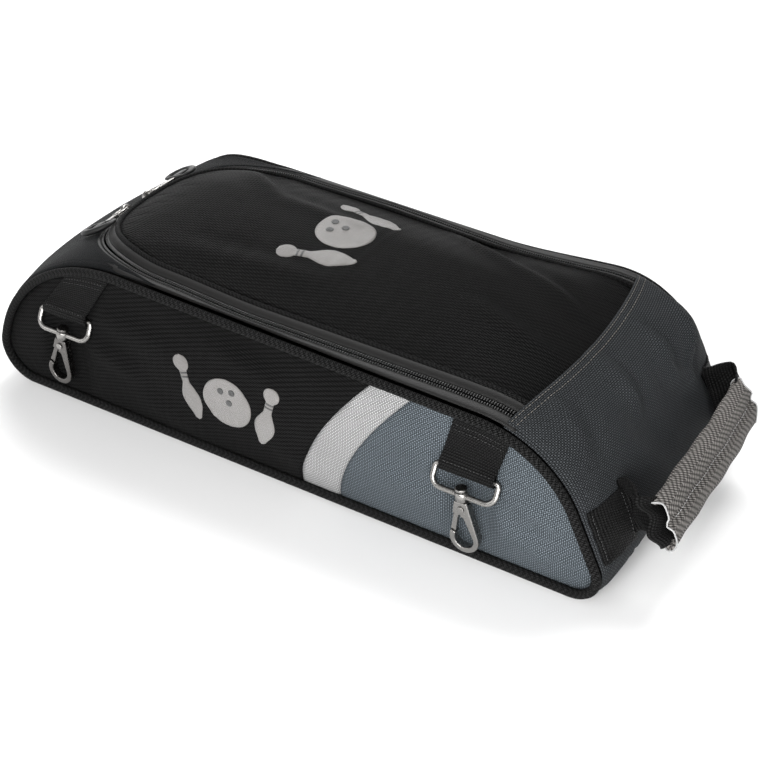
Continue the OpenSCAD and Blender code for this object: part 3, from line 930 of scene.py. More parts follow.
# ---------------------------------------------------------------- ends, base and lining

END_CREASES = [
    ((4, 94), (72, 42), 6, 5.0),
    ((6, 42), (58, 26), 5, 3.6),
    ((48, 16), (78, 62), 7, 3.0),
    ((6, -8), (62, -26), 6, 3.6),
    ((6, -60), (52, -84), 6, 2.6),
    ((40, -62), (102, -12), 12, 2.6),
    ((62, 38), (115, 82), 12, 2.4),
]


def strip(name, rows, cols, start, end, height, half=PANEL_Y - 0.2):
    """Sheet round the outline from distance start(y) to end(y), as high as height(k, y, t) says.
    Returns it with the distance along the outline and the y of each of its points."""
    y = np.linspace(-half, half, cols)
    k = np.linspace(0, 1, rows)[:, None]
    t = start(y)[None] * (1 - k) + end(y)[None] * k
    points, _ = outline.at(t, height(k, y[None], t))
    across = np.broadcast_to(y, t.shape)
    grid = np.stack([points[..., 0], across, points[..., 1]], -1)
    sheet = grid_object(name, grid, np.linspace(0, float(np.ptp(t)), rows), y)
    return sheet, np.stack([t, across], -1).reshape(-1, 2)


def all_round(rows, cols):
    """Numbers of the points on the four sides of a grid."""
    number = np.arange(rows * cols).reshape(rows, cols)
    return np.unique(np.concatenate([number[0], number[-1], number[:, 0], number[:, -1]]))


END_ROWS = 48
END_COLS = 64


def end_panel():
    """The charcoal panel that is sewn over the lid and runs down the handle end."""
    def start(y):
        return top_t(seam_x(y))

    def height(k, y, t):
        crown = 8.5 + 2.0 * np.sin(math.pi * np.clip(k * 1.3, 0, 1)) + 1.5 * np.exp(-k / 0.08)
        crown = crown - 8.0 * np.clip((k - 0.6) / 0.4, 0, 1) ** 1.5
        across = (1 - np.abs(y / PANEL_Y) ** 5) ** 0.6
        return np.maximum(crown * across, 0) - 1.2

    piece, places = strip(
        "cloth_end_panel", END_ROWS, END_COLS, start, lambda y: 0 * y + T_HANDLE_BASE, height
    )
    drape(piece, all_round(END_ROWS, END_COLS), (1, 0, 1), 0.2, 0.007)
    press_folds(piece, places - [start(PANEL_Y), 0], END_CREASES, (1, 0, 1))
    hinge_blend(dress(thicken(piece, FABRIC), "charcoal_weave", None, "handle_end_panel"))
    return piece


def toe_gusset():
    """The smoother charcoal panel below the zip at the toe end, in a copy of the charcoal weave
    painted darker as shade.
    """
    rows, cols = 40, 56
    reach = ZIP_HALF + 5.0

    def end(y):
        return plane_t(U_CENTRE - np.sqrt(np.clip(reach**2 - y**2, 0, None)))

    def height(k, y, t):
        across = (1 - np.abs(y / PANEL_Y) ** 4) ** 0.7
        return 2.2 * across * np.sin(math.pi * np.clip(k * 0.9 + 0.05, 0, 1)) - 0.8 + 3.2 * k**8

    piece, _ = strip("cloth_toe_panel", rows, cols, lambda y: 0 * y + T_TOE_BASE, end, height)
    drape(piece, all_round(rows, cols), (-1, 0, 1), 0.2, 0.004)
    dress(thicken(piece, FABRIC), "gusset_weave", "root", "toe_panel", slot="charcoal_weave")


def base():
    """Bottom panel, with the soft sag of cloth over a board."""
    x = np.linspace(BASE_X[0] + 1, BASE_X[1] - 1, 60)
    y = np.linspace(-PANEL_Y + 0.3, PANEL_Y - 0.3, 30)
    xx, yy = np.meshgrid(x, y, indexing="ij")
    edge = np.minimum(PANEL_Y - np.abs(yy), 20) / 20
    z = 0.7 + 0.8 * (1 - edge) ** 2 + 0.25 * np.sin(xx / 23) * np.sin(yy / 17)
    piece = grid_object("cloth_base_panel", np.stack([xx, yy, z], -1), x, y)
    dress(thicken(piece, 1.0), "black_twill", "root", "base_panel")


LINING_HALF = 95.6
LINING_MOUTH = 94.0
LINING_DEPTH = 6.2


def lining():
    """Lining of the tub: a strip all round below the opening, and a wall at each side."""
    def start(y):
        return top_t(HINGE_X + 3) + 0 * y

    def end(y):
        mouth = np.sqrt(LINING_MOUTH**2 - np.clip(y, 0.1 - LINING_MOUTH, LINING_MOUTH - 0.1) ** 2)
        return outline.length + plane_t(U_CENTRE - mouth)

    def height(k, y, t):
        return 0.4 * np.sin(t / 9 + y / 31) * np.sin(y / 13) - LINING_DEPTH

    wrap, _ = strip("cloth_lining", 160, 40, start, end, height, LINING_HALF)
    dress(thicken(wrap, LINING), "lining_black", "root", "lining", "base_board")
    flat, faces = flat_grid(np.arange(-252, 256, 6.0), np.arange(-3, 130, 6.0))
    border = outline.inset(LINING_DEPTH + 0.2)
    for side, sign in (("front", -1), ("rear", 1)):
        def place(points, depth):
            soft = 0.5 * np.sin(points[:, 0] / 19) * np.sin(points[:, 1] / 15)
            out = LINING_HALF + 0.2 + soft * np.clip(depth / 10, 0, 1)
            return np.stack([points[:, 0], sign * out, points[:, 1]], -1)

        name = f"cloth_lining_{side}"
        wall, _, _ = sheet_on_border(name, flat, faces, border, place, lambda p: p)
        dress(thicken(wall, LINING), "lining_black", "root")


# ---------------------------------------------------------------- zip, rim and lid edge

ZIP = ZipLine(2.0)
COIL_PITCH = 1.8


def round_profile(across, h, radius_a, radius_h, sides):
    """Oval cross-section round a point."""
    a = np.linspace(0, 2 * math.pi, sides, endpoint=False)
    return [(across + radius_a * math.cos(k), h + radius_h * math.sin(k)) for k in a]


def band_profile(inner, outer, thickness=1.2, bow=0.5):
    """Cross-section of a folded tape between two (across, h) points, rounded at both edges."""
    inner, outer = np.array(inner, float), np.array(outer, float)
    run = outer - inner
    up = np.array([-run[1], run[0]]) / np.linalg.norm(run)
    top, under = [], []
    for k in np.linspace(0, 1, 7):
        rounded = min(1.0, 6 * min(k, 1 - k) + 0.35)
        lift = thickness / 2 + bow * np.sin(math.pi * k)
        top.append(tuple(inner + run * k + up * lift * rounded))
        under.append(tuple(inner + run * k - up * thickness / 2 * rounded))
    return top + under[::-1]


def coil(name, across, h, length, body, node):
    """A row of nylon coil: one bent pill for every turn."""
    at = (np.arange(int(ZIP.length[-1] / COIL_PITCH)) + 0.5) * COIL_PITCH
    middle = on_path(at, ZIP.length, ZIP.points(across, h))
    side = on_path(at, ZIP.length, ZIP.points(across + 1, h)) - middle
    over = on_path(at, ZIP.length, ZIP.points(across, h + 1)) - middle
    pill, faces = rounded_box((length, 1.35, 1.5), 0.75, 6, 8)
    x = pill[:, 0].copy()
    pill[:, 1] += 0.18 * x
    pill[:, 2] -= 0.5 * (2 * x / length) ** 2
    axes = np.stack([side, np.cross(side, over), over], 1)
    return dress(as_object(name, *repeated((pill, faces), middle, axes)), "zip_teeth", body, node)


def stitch_row(name, path, normals, material, body, pitch=3.2, length=2.2, radius=0.28):
    """Row of thread stitches lying on a surface."""
    path = np.asarray(path, float)
    t = lengths(path)
    starts = np.arange(0.5, t[-1] - length, pitch)
    stitch = rounded_box((length, 2 * radius, 2 * radius), 0.8, 5, 6)
    start, end = on_path(starts, t, path), on_path(starts + length, t, path)
    ahead = (end - start) / length
    over = on_path(starts + length / 2, t, np.broadcast_to(normals, path.shape))
    axes = np.stack([ahead, np.cross(over, ahead), over], 1)
    row = repeated(stitch, (start + end) / 2 + 0.15 * over, axes)
    return dress(as_object(name, *row), material, body, slot="thread")


def rim():
    """The bag's side of the zip: folded band, tape and coil."""
    band = ZIP.sweep("cloth_rim_band", band_profile((3.2, 2.0), (11.2, 0.9)))
    dress(band, "band_black", "root", "rim_band")
    tape = ZIP.sweep("cloth_frame_zip_tape", band_profile((1.0, 0.7), (5.5, 1.0), 0.8, 0.0))
    dress(tape, "zip_tape", "root", "frame_zip_tape")
    coil("coil_frame_zip_teeth", 1.75, 2.0, 2.3, "root", "frame_zip_teeth")


def lid_edge():
    """The lid's side of the zip: coil, tape, folded band and the cord along the lid's seam."""
    band = ZIP.sweep("cloth_lid_band", band_profile((-10.0, 5.4), (-3.0, 2.6), 1.3, 0.7))
    hinge_blend(dress(band, "band_black", None, "lid_band"))
    tape = ZIP.sweep("cloth_lid_zip_tape", band_profile((-5.5, 1.3), (-1.0, 0.7), 0.8, 0.0))
    hinge_blend(dress(tape, "zip_tape", None, "lid_zip_tape"))
    hinge_blend(coil("coil_lid_zip_teeth", -2.0, 2.3, 3.2, None, "lid_zip_teeth"))
    cord = ZIP.sweep("cord_lid", round_profile(-10.6, 5.6, 2.1, 1.9, 14))
    hinge_blend(dress(cord, "cord_black", None, "lid_cord", slot="piping_black"))


# ---------------------------------------------------------------- lid skin

LID_HALF = ZIP_HALF - 11.2
LID_CREASES = [
    ((44, 68), (96, 24), 8, 3.4),
    ((84, 28), (165, 20), 9, 2.2),
    ((188, 80), (268, 36), 7, 3.6),
    ((250, 46), (318, 14), 7, 3.0),
    ((246, -12), (314, -34), 7, 2.6),
    ((60, -62), (180, -44), 9, 1.8),
]


def lid_border(half):
    """The lid's outline in the plane of the zip, running on past the end panel's seam."""
    past_seam = 420
    a = np.radians(np.linspace(90, 270, 90))
    turn = np.stack([U_CENTRE + half * np.cos(a), half * np.sin(a)], -1)
    corners = np.concatenate([[[past_seam, half]], turn, [[past_seam, -half]]])
    return Border(corners, np.array([past_seam, -half]))


def lid_sheet(name, half, height, step):
    """Sheet over the lid's opening and the numbers of its sewn points. height(points, depth) is
    its height above the outline."""
    s = np.arange(-12, 300, step)
    y = np.arange(-96, 97, step)
    ss, yy = np.meshgrid(s, y, indexing="ij")
    end = along_s(seam_x(yy) + 4.0)
    stretch = np.clip((ss - 120) / (s[-1] - 120), 0, 1)
    ss = ss + (end - s[-1]) * stretch
    flat = np.stack([ss, yy], -1).reshape(-1, 2)
    faces = quads(len(s), len(y))
    border = lid_border(half)

    def place(points, depth):
        return on_top(points[:, 0], points[:, 1], height(points, depth))

    def uv(points):
        return np.stack([plane_t(points[:, 0]), points[:, 1]], -1)

    obj, edge, used = sheet_on_border(name, flat, faces, border, place, uv)
    last_row = np.flatnonzero(used >= (len(s) - 1) * len(y))
    return obj, np.union1d(edge, last_row)


def lid_skin():
    """The lid's padded top."""
    def height(points, depth):
        to_seam = along_s(seam_x(points[:, 1]) + 4.0) - points[:, 0]
        edge = 0.8 * np.exp(-depth / 3) + 4.0 * np.exp(-np.clip(to_seam, 0, None) / 12)
        return 5.4 + 3.2 * (1 - np.exp(-depth / 26)) - edge

    piece, sewn = lid_sheet("cloth_lid", LID_HALF, height, GRID_STEP)
    drape(piece, sewn, (0, 0, 1), 0.4, 0.005)
    x, y, _ = coordinates(piece).T
    press_folds(piece, np.stack([along_s(x), y], -1), LID_CREASES, (0, 0, 1))
    return dress(thicken(piece, FABRIC), "black_twill", None, "lid_panel", "lid_foam")


def lid_inside():
    """The lid's lining, seen when the lid is open."""
    def height(points, depth):
        soft = 0.4 * np.sin(points[:, 0] / 21) * np.sin(points[:, 1] / 17)
        return 0.4 + soft * np.clip(depth / 12, 0, 1)

    piece, _ = lid_sheet("cloth_lid_lining", LID_HALF + 1.5, height, 6.0)
    hinge_blend(dress(thicken(piece, LINING), "lining_black", None, "lid_lining"))


# ---------------------------------------------------------------- things laid on a surface


class Surface:
    """A finished sheet that other pieces are laid on."""

    def __init__(self, obj):
        self.tree = BVHTree.FromPolygons(
            [v.co for v in obj.data.vertices], [p.vertices for p in obj.data.polygons]
        )

    def under(self, points, direction, lift=0.0):
        """Points moved along direction until they are lift short of the sheet."""
        points = np.asarray(points, float)
        aim = Vector(direction).normalized()
        moved = points.reshape(-1, 3).copy()
        for k, point in enumerate(moved):
            start = Vector(point * MM) - aim * 0.05
            hit = self.tree.ray_cast(start, aim, 0.12)[0]
            if hit is not None:
                moved[k] = np.array(hit - aim * lift * MM) / MM
        return moved.reshape(points.shape)


def pillow(k):
    """Height share of a satin-stitched patch across its width, k from 0 to 1."""
    return np.clip(4 * k * (1 - k), 0, 1) ** 0.35


def pin_width(k, size):
    """Half width of a bowling pin at share k of its height."""
    belly = 0.165 * bell(k, 0.32, 0.27)
    neck = 0.062 * (k < 0.9)
    head = 0.125 * np.sqrt(np.clip(1 - ((k - 0.875) / 0.125) ** 2, 0, 1))
    foot = np.clip(k / 0.04, 0, 1) ** 0.5
    return size * np.maximum(np.maximum(belly, neck), head) * foot


def turned(flat, degrees):
    """2-D points turned clockwise about the origin."""
    c, s = math.cos(math.radians(degrees)), math.sin(math.radians(degrees))
    return flat @ np.array([[c, -s], [s, c]])


PIN_SPOT = (0.31, -0.29)
PIN_HEIGHT = 0.62
PIN_LEAN = 14
NECK_BANDS = (0.66, 0.72)
BALL_RADIUS = 0.235
BALL_TURN = -35
HOLES = ((-0.05, 0.11), (0.06, 0.13), (0.03, 0.02))


def emblem(name, surface, to_world, direction, size, body, node):
    """Ball with three finger holes between two leaning pins, in satin stitch."""
    def patch(label, flat, across, satin_u, material, lift):
        place = surface.under(to_world(flat), direction, 0.25)
        place = place - np.array(direction) * (lift * pillow(across))[..., None]
        piece = grid_object(f"{name}_{label}", place, satin_u, np.linspace(0, 20, flat.shape[1]))
        return dress(thicken(piece, 0.3), material, body, slot="thread")

    radius = BALL_RADIUS * size
    x = np.linspace(-1, 1, 41)[:, None]
    y = np.linspace(-1, 1, 31)[None, :]
    chord = np.sqrt(np.clip(1 - x**2, 1e-4, 1))
    ball = turned(np.stack(np.broadcast_arrays(x * radius, chord * y * radius), -1), BALL_TURN)
    edge = np.sqrt(np.clip(1 - (x**2 + (chord * y) ** 2), 0, 1))
    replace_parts(patch("ball", ball, 0.5 * edge, x[:, 0] * radius, "thread_light", 0.8), node)
    hole = np.stack(np.broadcast_arrays(x[::4], chord[::4] * y[:, ::3]), -1) * 0.03 * size
    inside = np.full(hole.shape[:2], 0.5)
    for number, spot in enumerate(HOLES):
        place = hole + np.array(spot) * size
        patch(f"hole_{number}", place, inside, x[::4, 0] * 2, "thread_dark", 1.15)
    v = np.linspace(-1, 1, 13)[None, :]
    height = PIN_HEIGHT * size
    for label, way in (("left", -1), ("right", 1)):
        def pin_patch(part, k, material, lift):
            pin = np.stack(np.broadcast_arrays(pin_width(k, height) * v, k * height), -1)
            pin = turned(pin, way * PIN_LEAN) + np.array([way * PIN_SPOT[0], PIN_SPOT[1]]) * size
            patch(part, pin, (v + 1) / 2 + 0 * k, k[:, 0] * height, material, lift)

        pin_patch(f"pin_{label}", np.linspace(0.0, 1.0, 60)[:, None], "thread_light", 0.8)
        for band, low in enumerate(NECK_BANDS):
            k = np.linspace(low, low + 0.025, 4)[:, None]
            pin_patch(f"neck_{label}_{band}", k, "thread_dark", 1.0)


def emblems(sheets, lid):
    """One emblem on each side panel and one on the lid, laid on from outside the bag."""
    for side, sign in (("front", -1), ("rear", 1)):
        def on_side(flat):
            x, z = -34 - sign * flat[..., 0], 52 + flat[..., 1]
            return np.stack([x, np.full(x.shape, sign * (PANEL_Y + 20.0)), z], -1)

        aim = (0, -sign, 0)
        emblem(f"emblem_{side}", Surface(sheets[side]), on_side, aim, 84, "root", "side_emblems")

    def on_lid(flat):
        x, y = -13 - flat[..., 1], 10 + flat[..., 0]
        return np.stack([x, y, np.full(x.shape, 145.0)], -1)

    emblem("emblem_lid", Surface(lid), on_lid, (0, 0, -1), 92, "lid", "lid_emblem")


def seam_stitches(panel):
    """Two rows of stitches along the end panel's seam over the lid."""
    grid = coordinates(panel).reshape(END_ROWS, END_COLS, 3)[:, 1:-1]
    for label, row in (("first", 0.6), ("second", 1.7)):
        low = int(row)
        path = grid[low] * (1 - row + low) + grid[low + 1] * (row - low) + np.array([0.1, 0, 0.8])
        hinge_blend(stitch_row(f"stitches_seam_{label}", path, (0, 0, 1), "stitch_tan", None))


# ---------------------------------------------------------------- clips


def clip_world(points, side_sign, end):
    """Points of the bag for points measured from a clip's bar, -Y being outwards."""
    x, z = BARS[end]
    points = np.asarray(points, float)
    across, out, up = np.moveaxis(points, -1, 0)
    return np.stack([x + across, side_sign * (BAR_Y - out), z + up], -1)


def turn_x(degrees):
    return np.array(Matrix.Rotation(math.radians(degrees), 4, "X"))


def turn_y(degrees):
    return np.array(Matrix.Rotation(math.radians(degrees), 4, "Y"))


def shift(x, y, z):
    return np.array(Matrix.Translation((x, y, z)))


def lathe(profile, sides=28):
    """Closed solid of revolution about Z from (radius, z) pairs that go once round its section."""
    a = np.linspace(0, 2 * math.pi, sides, endpoint=False)
    profile = np.asarray(profile, float)
    r, z = profile[:, 0][:, None], profile[:, 1][:, None]
    grid = np.stack(np.broadcast_arrays(r * np.cos(a), r * np.sin(a), z), -1)
    return grid.reshape(-1, 3), quads(len(profile), sides, True, True).tolist()


# Radius and height of the swivel collar's section
COLLAR = [(2.5, -3.4), (3.7, -3.5), (4.3, -2.9), (4.5, 0), (4.3, 2.9), (3.7, 3.5), (2.5, 3.4)]


def d_ring(side, sign, end):
    """Round wire D-ring with the swivel's collar in the middle of its lower bar."""
    half, corner, small = 22.0, 7.0, 2.0

    def bend(x, z, radius, first, last, count):
        a = np.radians(np.linspace(first, last, count))
        return np.stack([x + radius * np.cos(a), z + radius * np.sin(a)], -1)

    left = bend(corner - half, corner - RING_DROP, corner, 180, 270, 9)
    top_right = bend(half - small, -small, small, 0, 90, 5)
    loop = np.concatenate([left, left[::-1] * [-1, 1], top_right, top_right[::-1] * [-1, 1]])
    loop = resampled(np.concatenate([loop, loop[:1]]), 121)[:-1]
    path = np.stack([loop[:, 0], np.zeros(len(loop)), loop[:, 1]], -1)
    wire = tube_part(path, (0, 1, 0), 1.95, 14, True)
    collar = lathe(COLLAR)
    lean = turn_x(RING_TILT) @ turn_y(HOOK_LEAN[end])
    collar = placed(collar, shift(0, 0, -RING_DROP) @ lean)
    parts = [placed(p, turn_x(-RING_TILT)) for p in (wire, collar)]
    parts = [(clip_world(p, sign, end), f) for p, f in parts]
    node = f"ring_{side}_{end}"
    dress(joined(f"wire_{node}", parts), "nickel", node, node)


def soften(node, material, voxel=0.4, passes=5):
    """Rounds a metal CAD part's edges, as casting and tumbling do, and gives it its material."""
    obj = frame["nodes"][node]
    remesh = obj.modifiers.new("Cast", "REMESH")
    remesh.mode = "VOXEL"
    remesh.voxel_size = voxel * MM
    remesh.use_smooth_shade = True
    smooth = obj.modifiers.new("Tumbled", "SMOOTH")
    smooth.factor = 0.5
    smooth.iterations = passes
    obj.data.materials.clear()
    obj.data.materials.append(paint[material])


def clip_metal(side, end):
    clip = f"{side}_{end}"
    metal = "gunmetal" if clip == "front_toe" else "nickel"
    soften(f"hook_{clip}", metal)
    soften(f"gate_{clip}", metal, 0.3, 3)
    soften(f"rivet_{clip}", "nickel", 0.25, 3)
    soften(f"spring_{clip}", "spring_steel", 0.2, 1)


STRAP_HALF = 19.0
STRAP_LOOP = 2.9
STRAP_BACK = 0.55
STITCHED_ROWS = (4, 7, 25)


def strap_line(w, lean, rise):
    """One lengthwise line of a strap, at w across it: down its face, round the D-ring's bar and
    up behind. Its top leans sideways and lies rise above the bar."""
    bow = 0.5 * math.sin(w / 9.0) + 0.4 * math.cos(w / STRAP_HALF * 1.5)

    def sideways(k):
        return w + lean * np.clip((k - 0.12) / 0.88, 0, 1)

    line = []
    for k in np.linspace(0, 1, 30):
        bulge = math.sin(math.pi * k) * (0.12 + 0.24 * bow)
        out = 1.0 - 0.5 * k - (0.5 + STRAP_LOOP) * ramp(k, 0.6, 1.0) - bulge
        line.append((sideways(1 - k), out, rise * (1 - k)))
    for a in np.radians(np.linspace(180, 360, 13))[1:]:
        line.append((w, -STRAP_LOOP * math.cos(a - math.pi), STRAP_LOOP * math.sin(a)))
    for k in np.linspace(0.1, STRAP_BACK, 10):
        line.append((sideways(k), STRAP_LOOP, rise * k))
    return line


def strap(side, sign, end):
    """Webbing doubled round the D-ring's bar and sewn in at the panel's seam."""
    x, z = BARS[end]
    lean = STRAP_SHIFT[end]
    across = np.linspace(-STRAP_HALF, STRAP_HALF, 17)
    lines = []
    for w in across:
        top_x = x + lean + w
        seam, _ = outline.at(top_t(top_x) if top_x > -215 else 0.0, -5.0)
        lines.append(strap_line(w, lean, seam[1] - z))
    grid = clip_world(np.array(lines).transpose(1, 0, 2), sign, end)
    name = f"webbing_{side}_{end}"
    piece = grid_object(name, grid, lengths(grid[:, 8]), across + STRAP_HALF)
    dress(thicken(piece, 1.4), "webbing_black", "root")
    out = (0.0, float(sign), 0.0)
    for row, at in enumerate(STITCHED_ROWS):
        path = grid[at, 1:-1] + np.array(out) * 0.75
        stitch_row(f"stitches_{side}_{end}_{row}", path, out, "thread_dark", "root", 2.6, 1.5, 0.2)
    return piece


def clips():
    """The four straps with their rings and hooks."""
    straps = []
    for side, sign in (("front", -1), ("rear", 1)):
        for end in BARS:
            straps.append(strap(side, sign, end))
            d_ring(side, sign, end)
            clip_metal(side, end)
    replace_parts(straps[0], "clip_straps")


# ---------------------------------------------------------------- sliders and pulls


def zip_frame(turn, mirror):
    """Matrix of a slider's own frame: +X towards the lid, Y along the zip, Z up."""
    x, z = TOE_CENTRE
    matrix = shift(x, 0, z) @ turn_y(-math.degrees(ZIP_TILT)) @ shift(U_CENTRE, 0, TOE_RADIUS)
    matrix = matrix @ np.array(Matrix.Rotation(math.radians(turn), 4, "Z")) @ shift(-ZIP_HALF, 0, 0)
    return matrix @ np.diag([1, -1 if mirror else 1, 1, 1])


def block(size, power, x, y, z):
    """Rounded box with its middle at (x, y, z)."""
    return placed(rounded_box(size, power), shift(x, y, z))


def slider(side, matrix):
    """Slider with two wings, side flanges and an arched bail."""
    a = np.linspace(0, math.pi, 25)
    arch = np.stack([0 * a, 5.0 * np.cos(a), 3.6 + 4.6 * np.sin(a) ** 0.8], -1)
    parts = [
        block((9.0, 12.0, 1.9), 0.35, 0, 0, 3.9),
        block((8.4, 11.0, 1.0), 0.4, 0, 0, -2.2),
        block((1.6, 4.0, 6.4), 0.5, 0, -2.0, 0.6),
        tube_part(arch, (1, 0, 0), 1.05, 10, False, 1.5),
        block((1.3, 11.4, 2.6), 0.4, -4.0, 0, 2.9),
        block((1.3, 11.4, 2.6), 0.4, 4.0, 0, 2.9),
    ]
    node = f"slider_{side}"
    dress(joined(f"metal_{node}", [placed(p, matrix) for p in parts]), "nickel", node, node)


def pull(side, matrix):
    """Oval link through the bail, a flat bar and a moulded finger loop on its end."""
    body = f"pull_{side}"
    matrix = matrix @ shift(0, 0, BAIL_Z)
    a = np.linspace(0, 2 * math.pi, 48, endpoint=False)
    link = np.stack([3.6 * np.cos(a), -5.5 + 6.4 * np.sin(a), 0.2 * np.cos(a)], -1)
    metal = [
        tube_part(link, (0, 0, 1), 0.95, 12, True),
        block((4.4, 22.0, 1.7), 0.3, 0, -21.5, -0.3),
        block((7.4, 4.6, 1.9), 0.6, 0, -11.5, 0),
    ]
    bar = joined(f"metal_pull_bar_{side}", [placed(p, matrix) for p in metal])
    dress(bar, "nickel", body, f"pull_bar_{side}")
    arc = np.radians(np.linspace(150, 390, 60))
    crescent = np.stack([13.0 * np.cos(arc), -33.5 + 10.5 * np.sin(arc), 0.3 + 0 * arc], -1)
    radii = 0.9 + 2.0 * (1 - np.linspace(-1, 1, 60) ** 2) ** 0.7
    moulded = [
        tube_part(crescent, (0, 0, 1), radii, 14, False, 0.75),
        block((6.6, 13.0, 3.4), 0.5, 0, -34.5, 0),
        block((24.0, 3.0, 2.4), 0.6, 0, -28.6, 0.2),
    ]
    loop = joined(f"moulded_pull_loop_{side}", [placed(p, matrix) for p in moulded])
    dress(loop, "moulded_black", body, f"pull_loop_{side}")


def sliders():
    for side, turn in SLIDER_TURNS.items():
        matrix = zip_frame(turn, side == "rear")
        slider(side, matrix)
        pull(side, matrix)


# ---------------------------------------------------------------- handle


LIFT = np.array([FACE_OUT[0], 0, FACE_OUT[1]])


def end_point(along, out, y):
    """3-D point over the handle end's face, along measured down it and out from it."""
    along, out, y = np.broadcast_arrays(along, out, y)
    flat = ANCHOR + along[..., None] * FACE_DIR + out[..., None] * FACE_OUT
    return np.stack([flat[..., 0], y, flat[..., 1]], -1)


def anchor(side, sign, surface):
    """Webbing patch sewn flat on the end panel, and its stitches. Returns it with its points."""
    k = np.linspace(-STRAP_HALF, STRAP_HALF, 20)[:, None]
    y = np.linspace(*ANCHOR_Y, 17)[None]
    grid = surface.under(end_point(k + 5.0, 30.0, -sign * y), -LIFT, 1.3)
    piece = grid_object(f"webbing_anchor_{side}", grid.transpose(1, 0, 2), y[0], k[:, 0])
    dress(thicken(piece, 1.5), "webbing_black", "root")
    for row, col in enumerate((1, 14)):
        path = grid[1:-1, col] + LIFT * 0.8
        name = f"stitches_anchor_{side}_{row}"
        stitch_row(name, path, LIFT, "thread_dark", "root", 2.6, 1.6, 0.22)
    return piece, grid


def leg(side, sign, start):
    """Webbing that leaves the patch at its inner edge start, curls out and enters the grip."""
    first = start.mean(0)
    face = np.array([first[0], first[2]]) - ANCHOR
    rise = float(face @ FACE_OUT)
    path = rounded_path([
        (rise, -70), (rise + 0.5, -67.0), (rise + 4, -66.5), (rise + 11, -71), (rise + 18, -78.5),
        (29, -81), (33, -77.5), (34, -70), (34, -62),
    ], 40)
    w = np.linspace(-1, 1, 25)[None]
    k = np.linspace(0, 1, 40)[:, None]
    half = 19.0 - 4.5 * np.clip(k * 1.3, 0, 1) ** 2
    ripple = 2.2 * np.sin(math.pi * k) * np.cos(w * 5.5 + 1.0)
    sag = 3.5 * np.sin(math.pi * k) ** 2
    centre = (GRIP_MID - ANCHOR) @ FACE_DIR
    along = half * w + centre * k**2 + sag * (w + 0.4)
    out = path[:, :1] + ripple * 0.8
    y = -sign * (path[:, 1:] + ripple * 0.9)
    grid = end_point(along, out, y)
    piece = grid_object(f"webbing_leg_{side}", grid, lengths(path), w[0] * 19)
    dress(thicken(piece, 1.5), "webbing_black", None)
    a = end_point(0.0, rise, -sign * 67.0) * MM
    b = end_point(0.0, 32.0, -sign * 74.0) * MM
    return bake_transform(piece)


GRIP_POWER = 0.72
VALLEY = -1.0


def oval(wave, radius):
    """A wave of a rounded oblong's outline."""
    return radius * np.sign(wave) * np.abs(wave) ** GRIP_POWER


def grip():
    """Padded sleeve of herringbone webbing with a stitched valley along its outer face."""
    a = np.linspace(0, 2 * math.pi, 72, endpoint=False)
    wide, deep = oval(np.cos(a), 17.5), oval(np.sin(a), 6.6)
    top = np.clip(np.sin(a) * 3, 0, 1)
    deep = deep - 4.2 * top * bell(wide, VALLEY, 2.8) + 1.0 * top * np.cos(wide / 5.2)
    tucked = np.array([GRIP_HALF - 1.5, GRIP_HALF - 7])
    rows = np.concatenate([-tucked[::-1], np.linspace(-GRIP_HALF, GRIP_HALF, 70), tucked])
    scale = np.concatenate([[0.84, 0.86], np.ones(70), [0.86, 0.84]])
    grid = []
    for y, size in zip(rows, scale):
        bow = 2.0 * (1 - (y / GRIP_HALF) ** 2)
        soft = 0.35 * np.sin(y / 6.0 + 3 * a) + 0.3 * np.sin(y / 15.0)
        along = wide * size + soft * 0.5
        out = deep * size + bow + soft
        flat = GRIP_MID + along[:, None] * FACE_DIR + out[:, None] * FACE_OUT
        zigzag = 1.6 * np.cos(a * 4) * np.sign(y) * (abs(y) >= GRIP_HALF - 2)
        grid.append(np.stack([flat[:, 0], y + zigzag, flat[:, 1]], -1))
    grid = np.array(grid)
    around = lengths(np.concatenate([grid[10], grid[10][:1]]))
    piece = grid_object("sleeve_grip", grid, rows, around, False, True, True)
    dress(piece, "grip_grey", "handle", "handle_grip")
    for label, row in (("near", 2), ("far", -3)):
        edge = tube(f"edge_grip_{label}", grid[row], (0, 1, 0), 0.55, 8, True)
        dress(edge, "grip_edge", "handle", slot="grip_grey")
    valley = grid[6:-6, np.argmin(np.abs(wide - VALLEY) + 10 * (np.sin(a) < 0))]
    stitch_row("stitches_grip", valley, LIFT, "grip_edge", "handle", 3.4, 2.4, 0.35)


def handle(panel):
    surface = Surface(panel)
    patches, legs = [], []
    for side, sign in (("front", 1), ("rear", -1)):
        patch, grid = anchor(side, sign, surface)
        patches.append(patch)
        legs.append(leg(side, sign, grid[:, -1]))
    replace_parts(patches[0], "handle_anchors")
    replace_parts(legs[0], "handle_webbing")
    grip()


# ---------------------------------------------------------------- stage, light and camera


SKY_LOW = 0.12
SKY_HIGH = 0.45
FLOOR_REACH = 6.0


def floor_paint():
    """Pale floor that brightens away from the bag, like a lit studio sweep."""
    shader = Shader("floor_paint")
    place = shader.node("ShaderNodeTexCoord", {}).outputs["Object"]
    away = shader.node("ShaderNodeVectorMath", {0: place}, operation="LENGTH").outputs["Value"]
    limits = {"Value": away, "From Min": 0.6, "From Max": 1.8, "To Min": 0.0, "To Max": 0.9}
    glow = shader.node("ShaderNodeMapRange", limits).outputs[0]
    return shader.finish(
        Base_Color=grey(0.86), Roughness=0.8, Emission_Color=grey(1.0), Emission_Strength=glow
    )


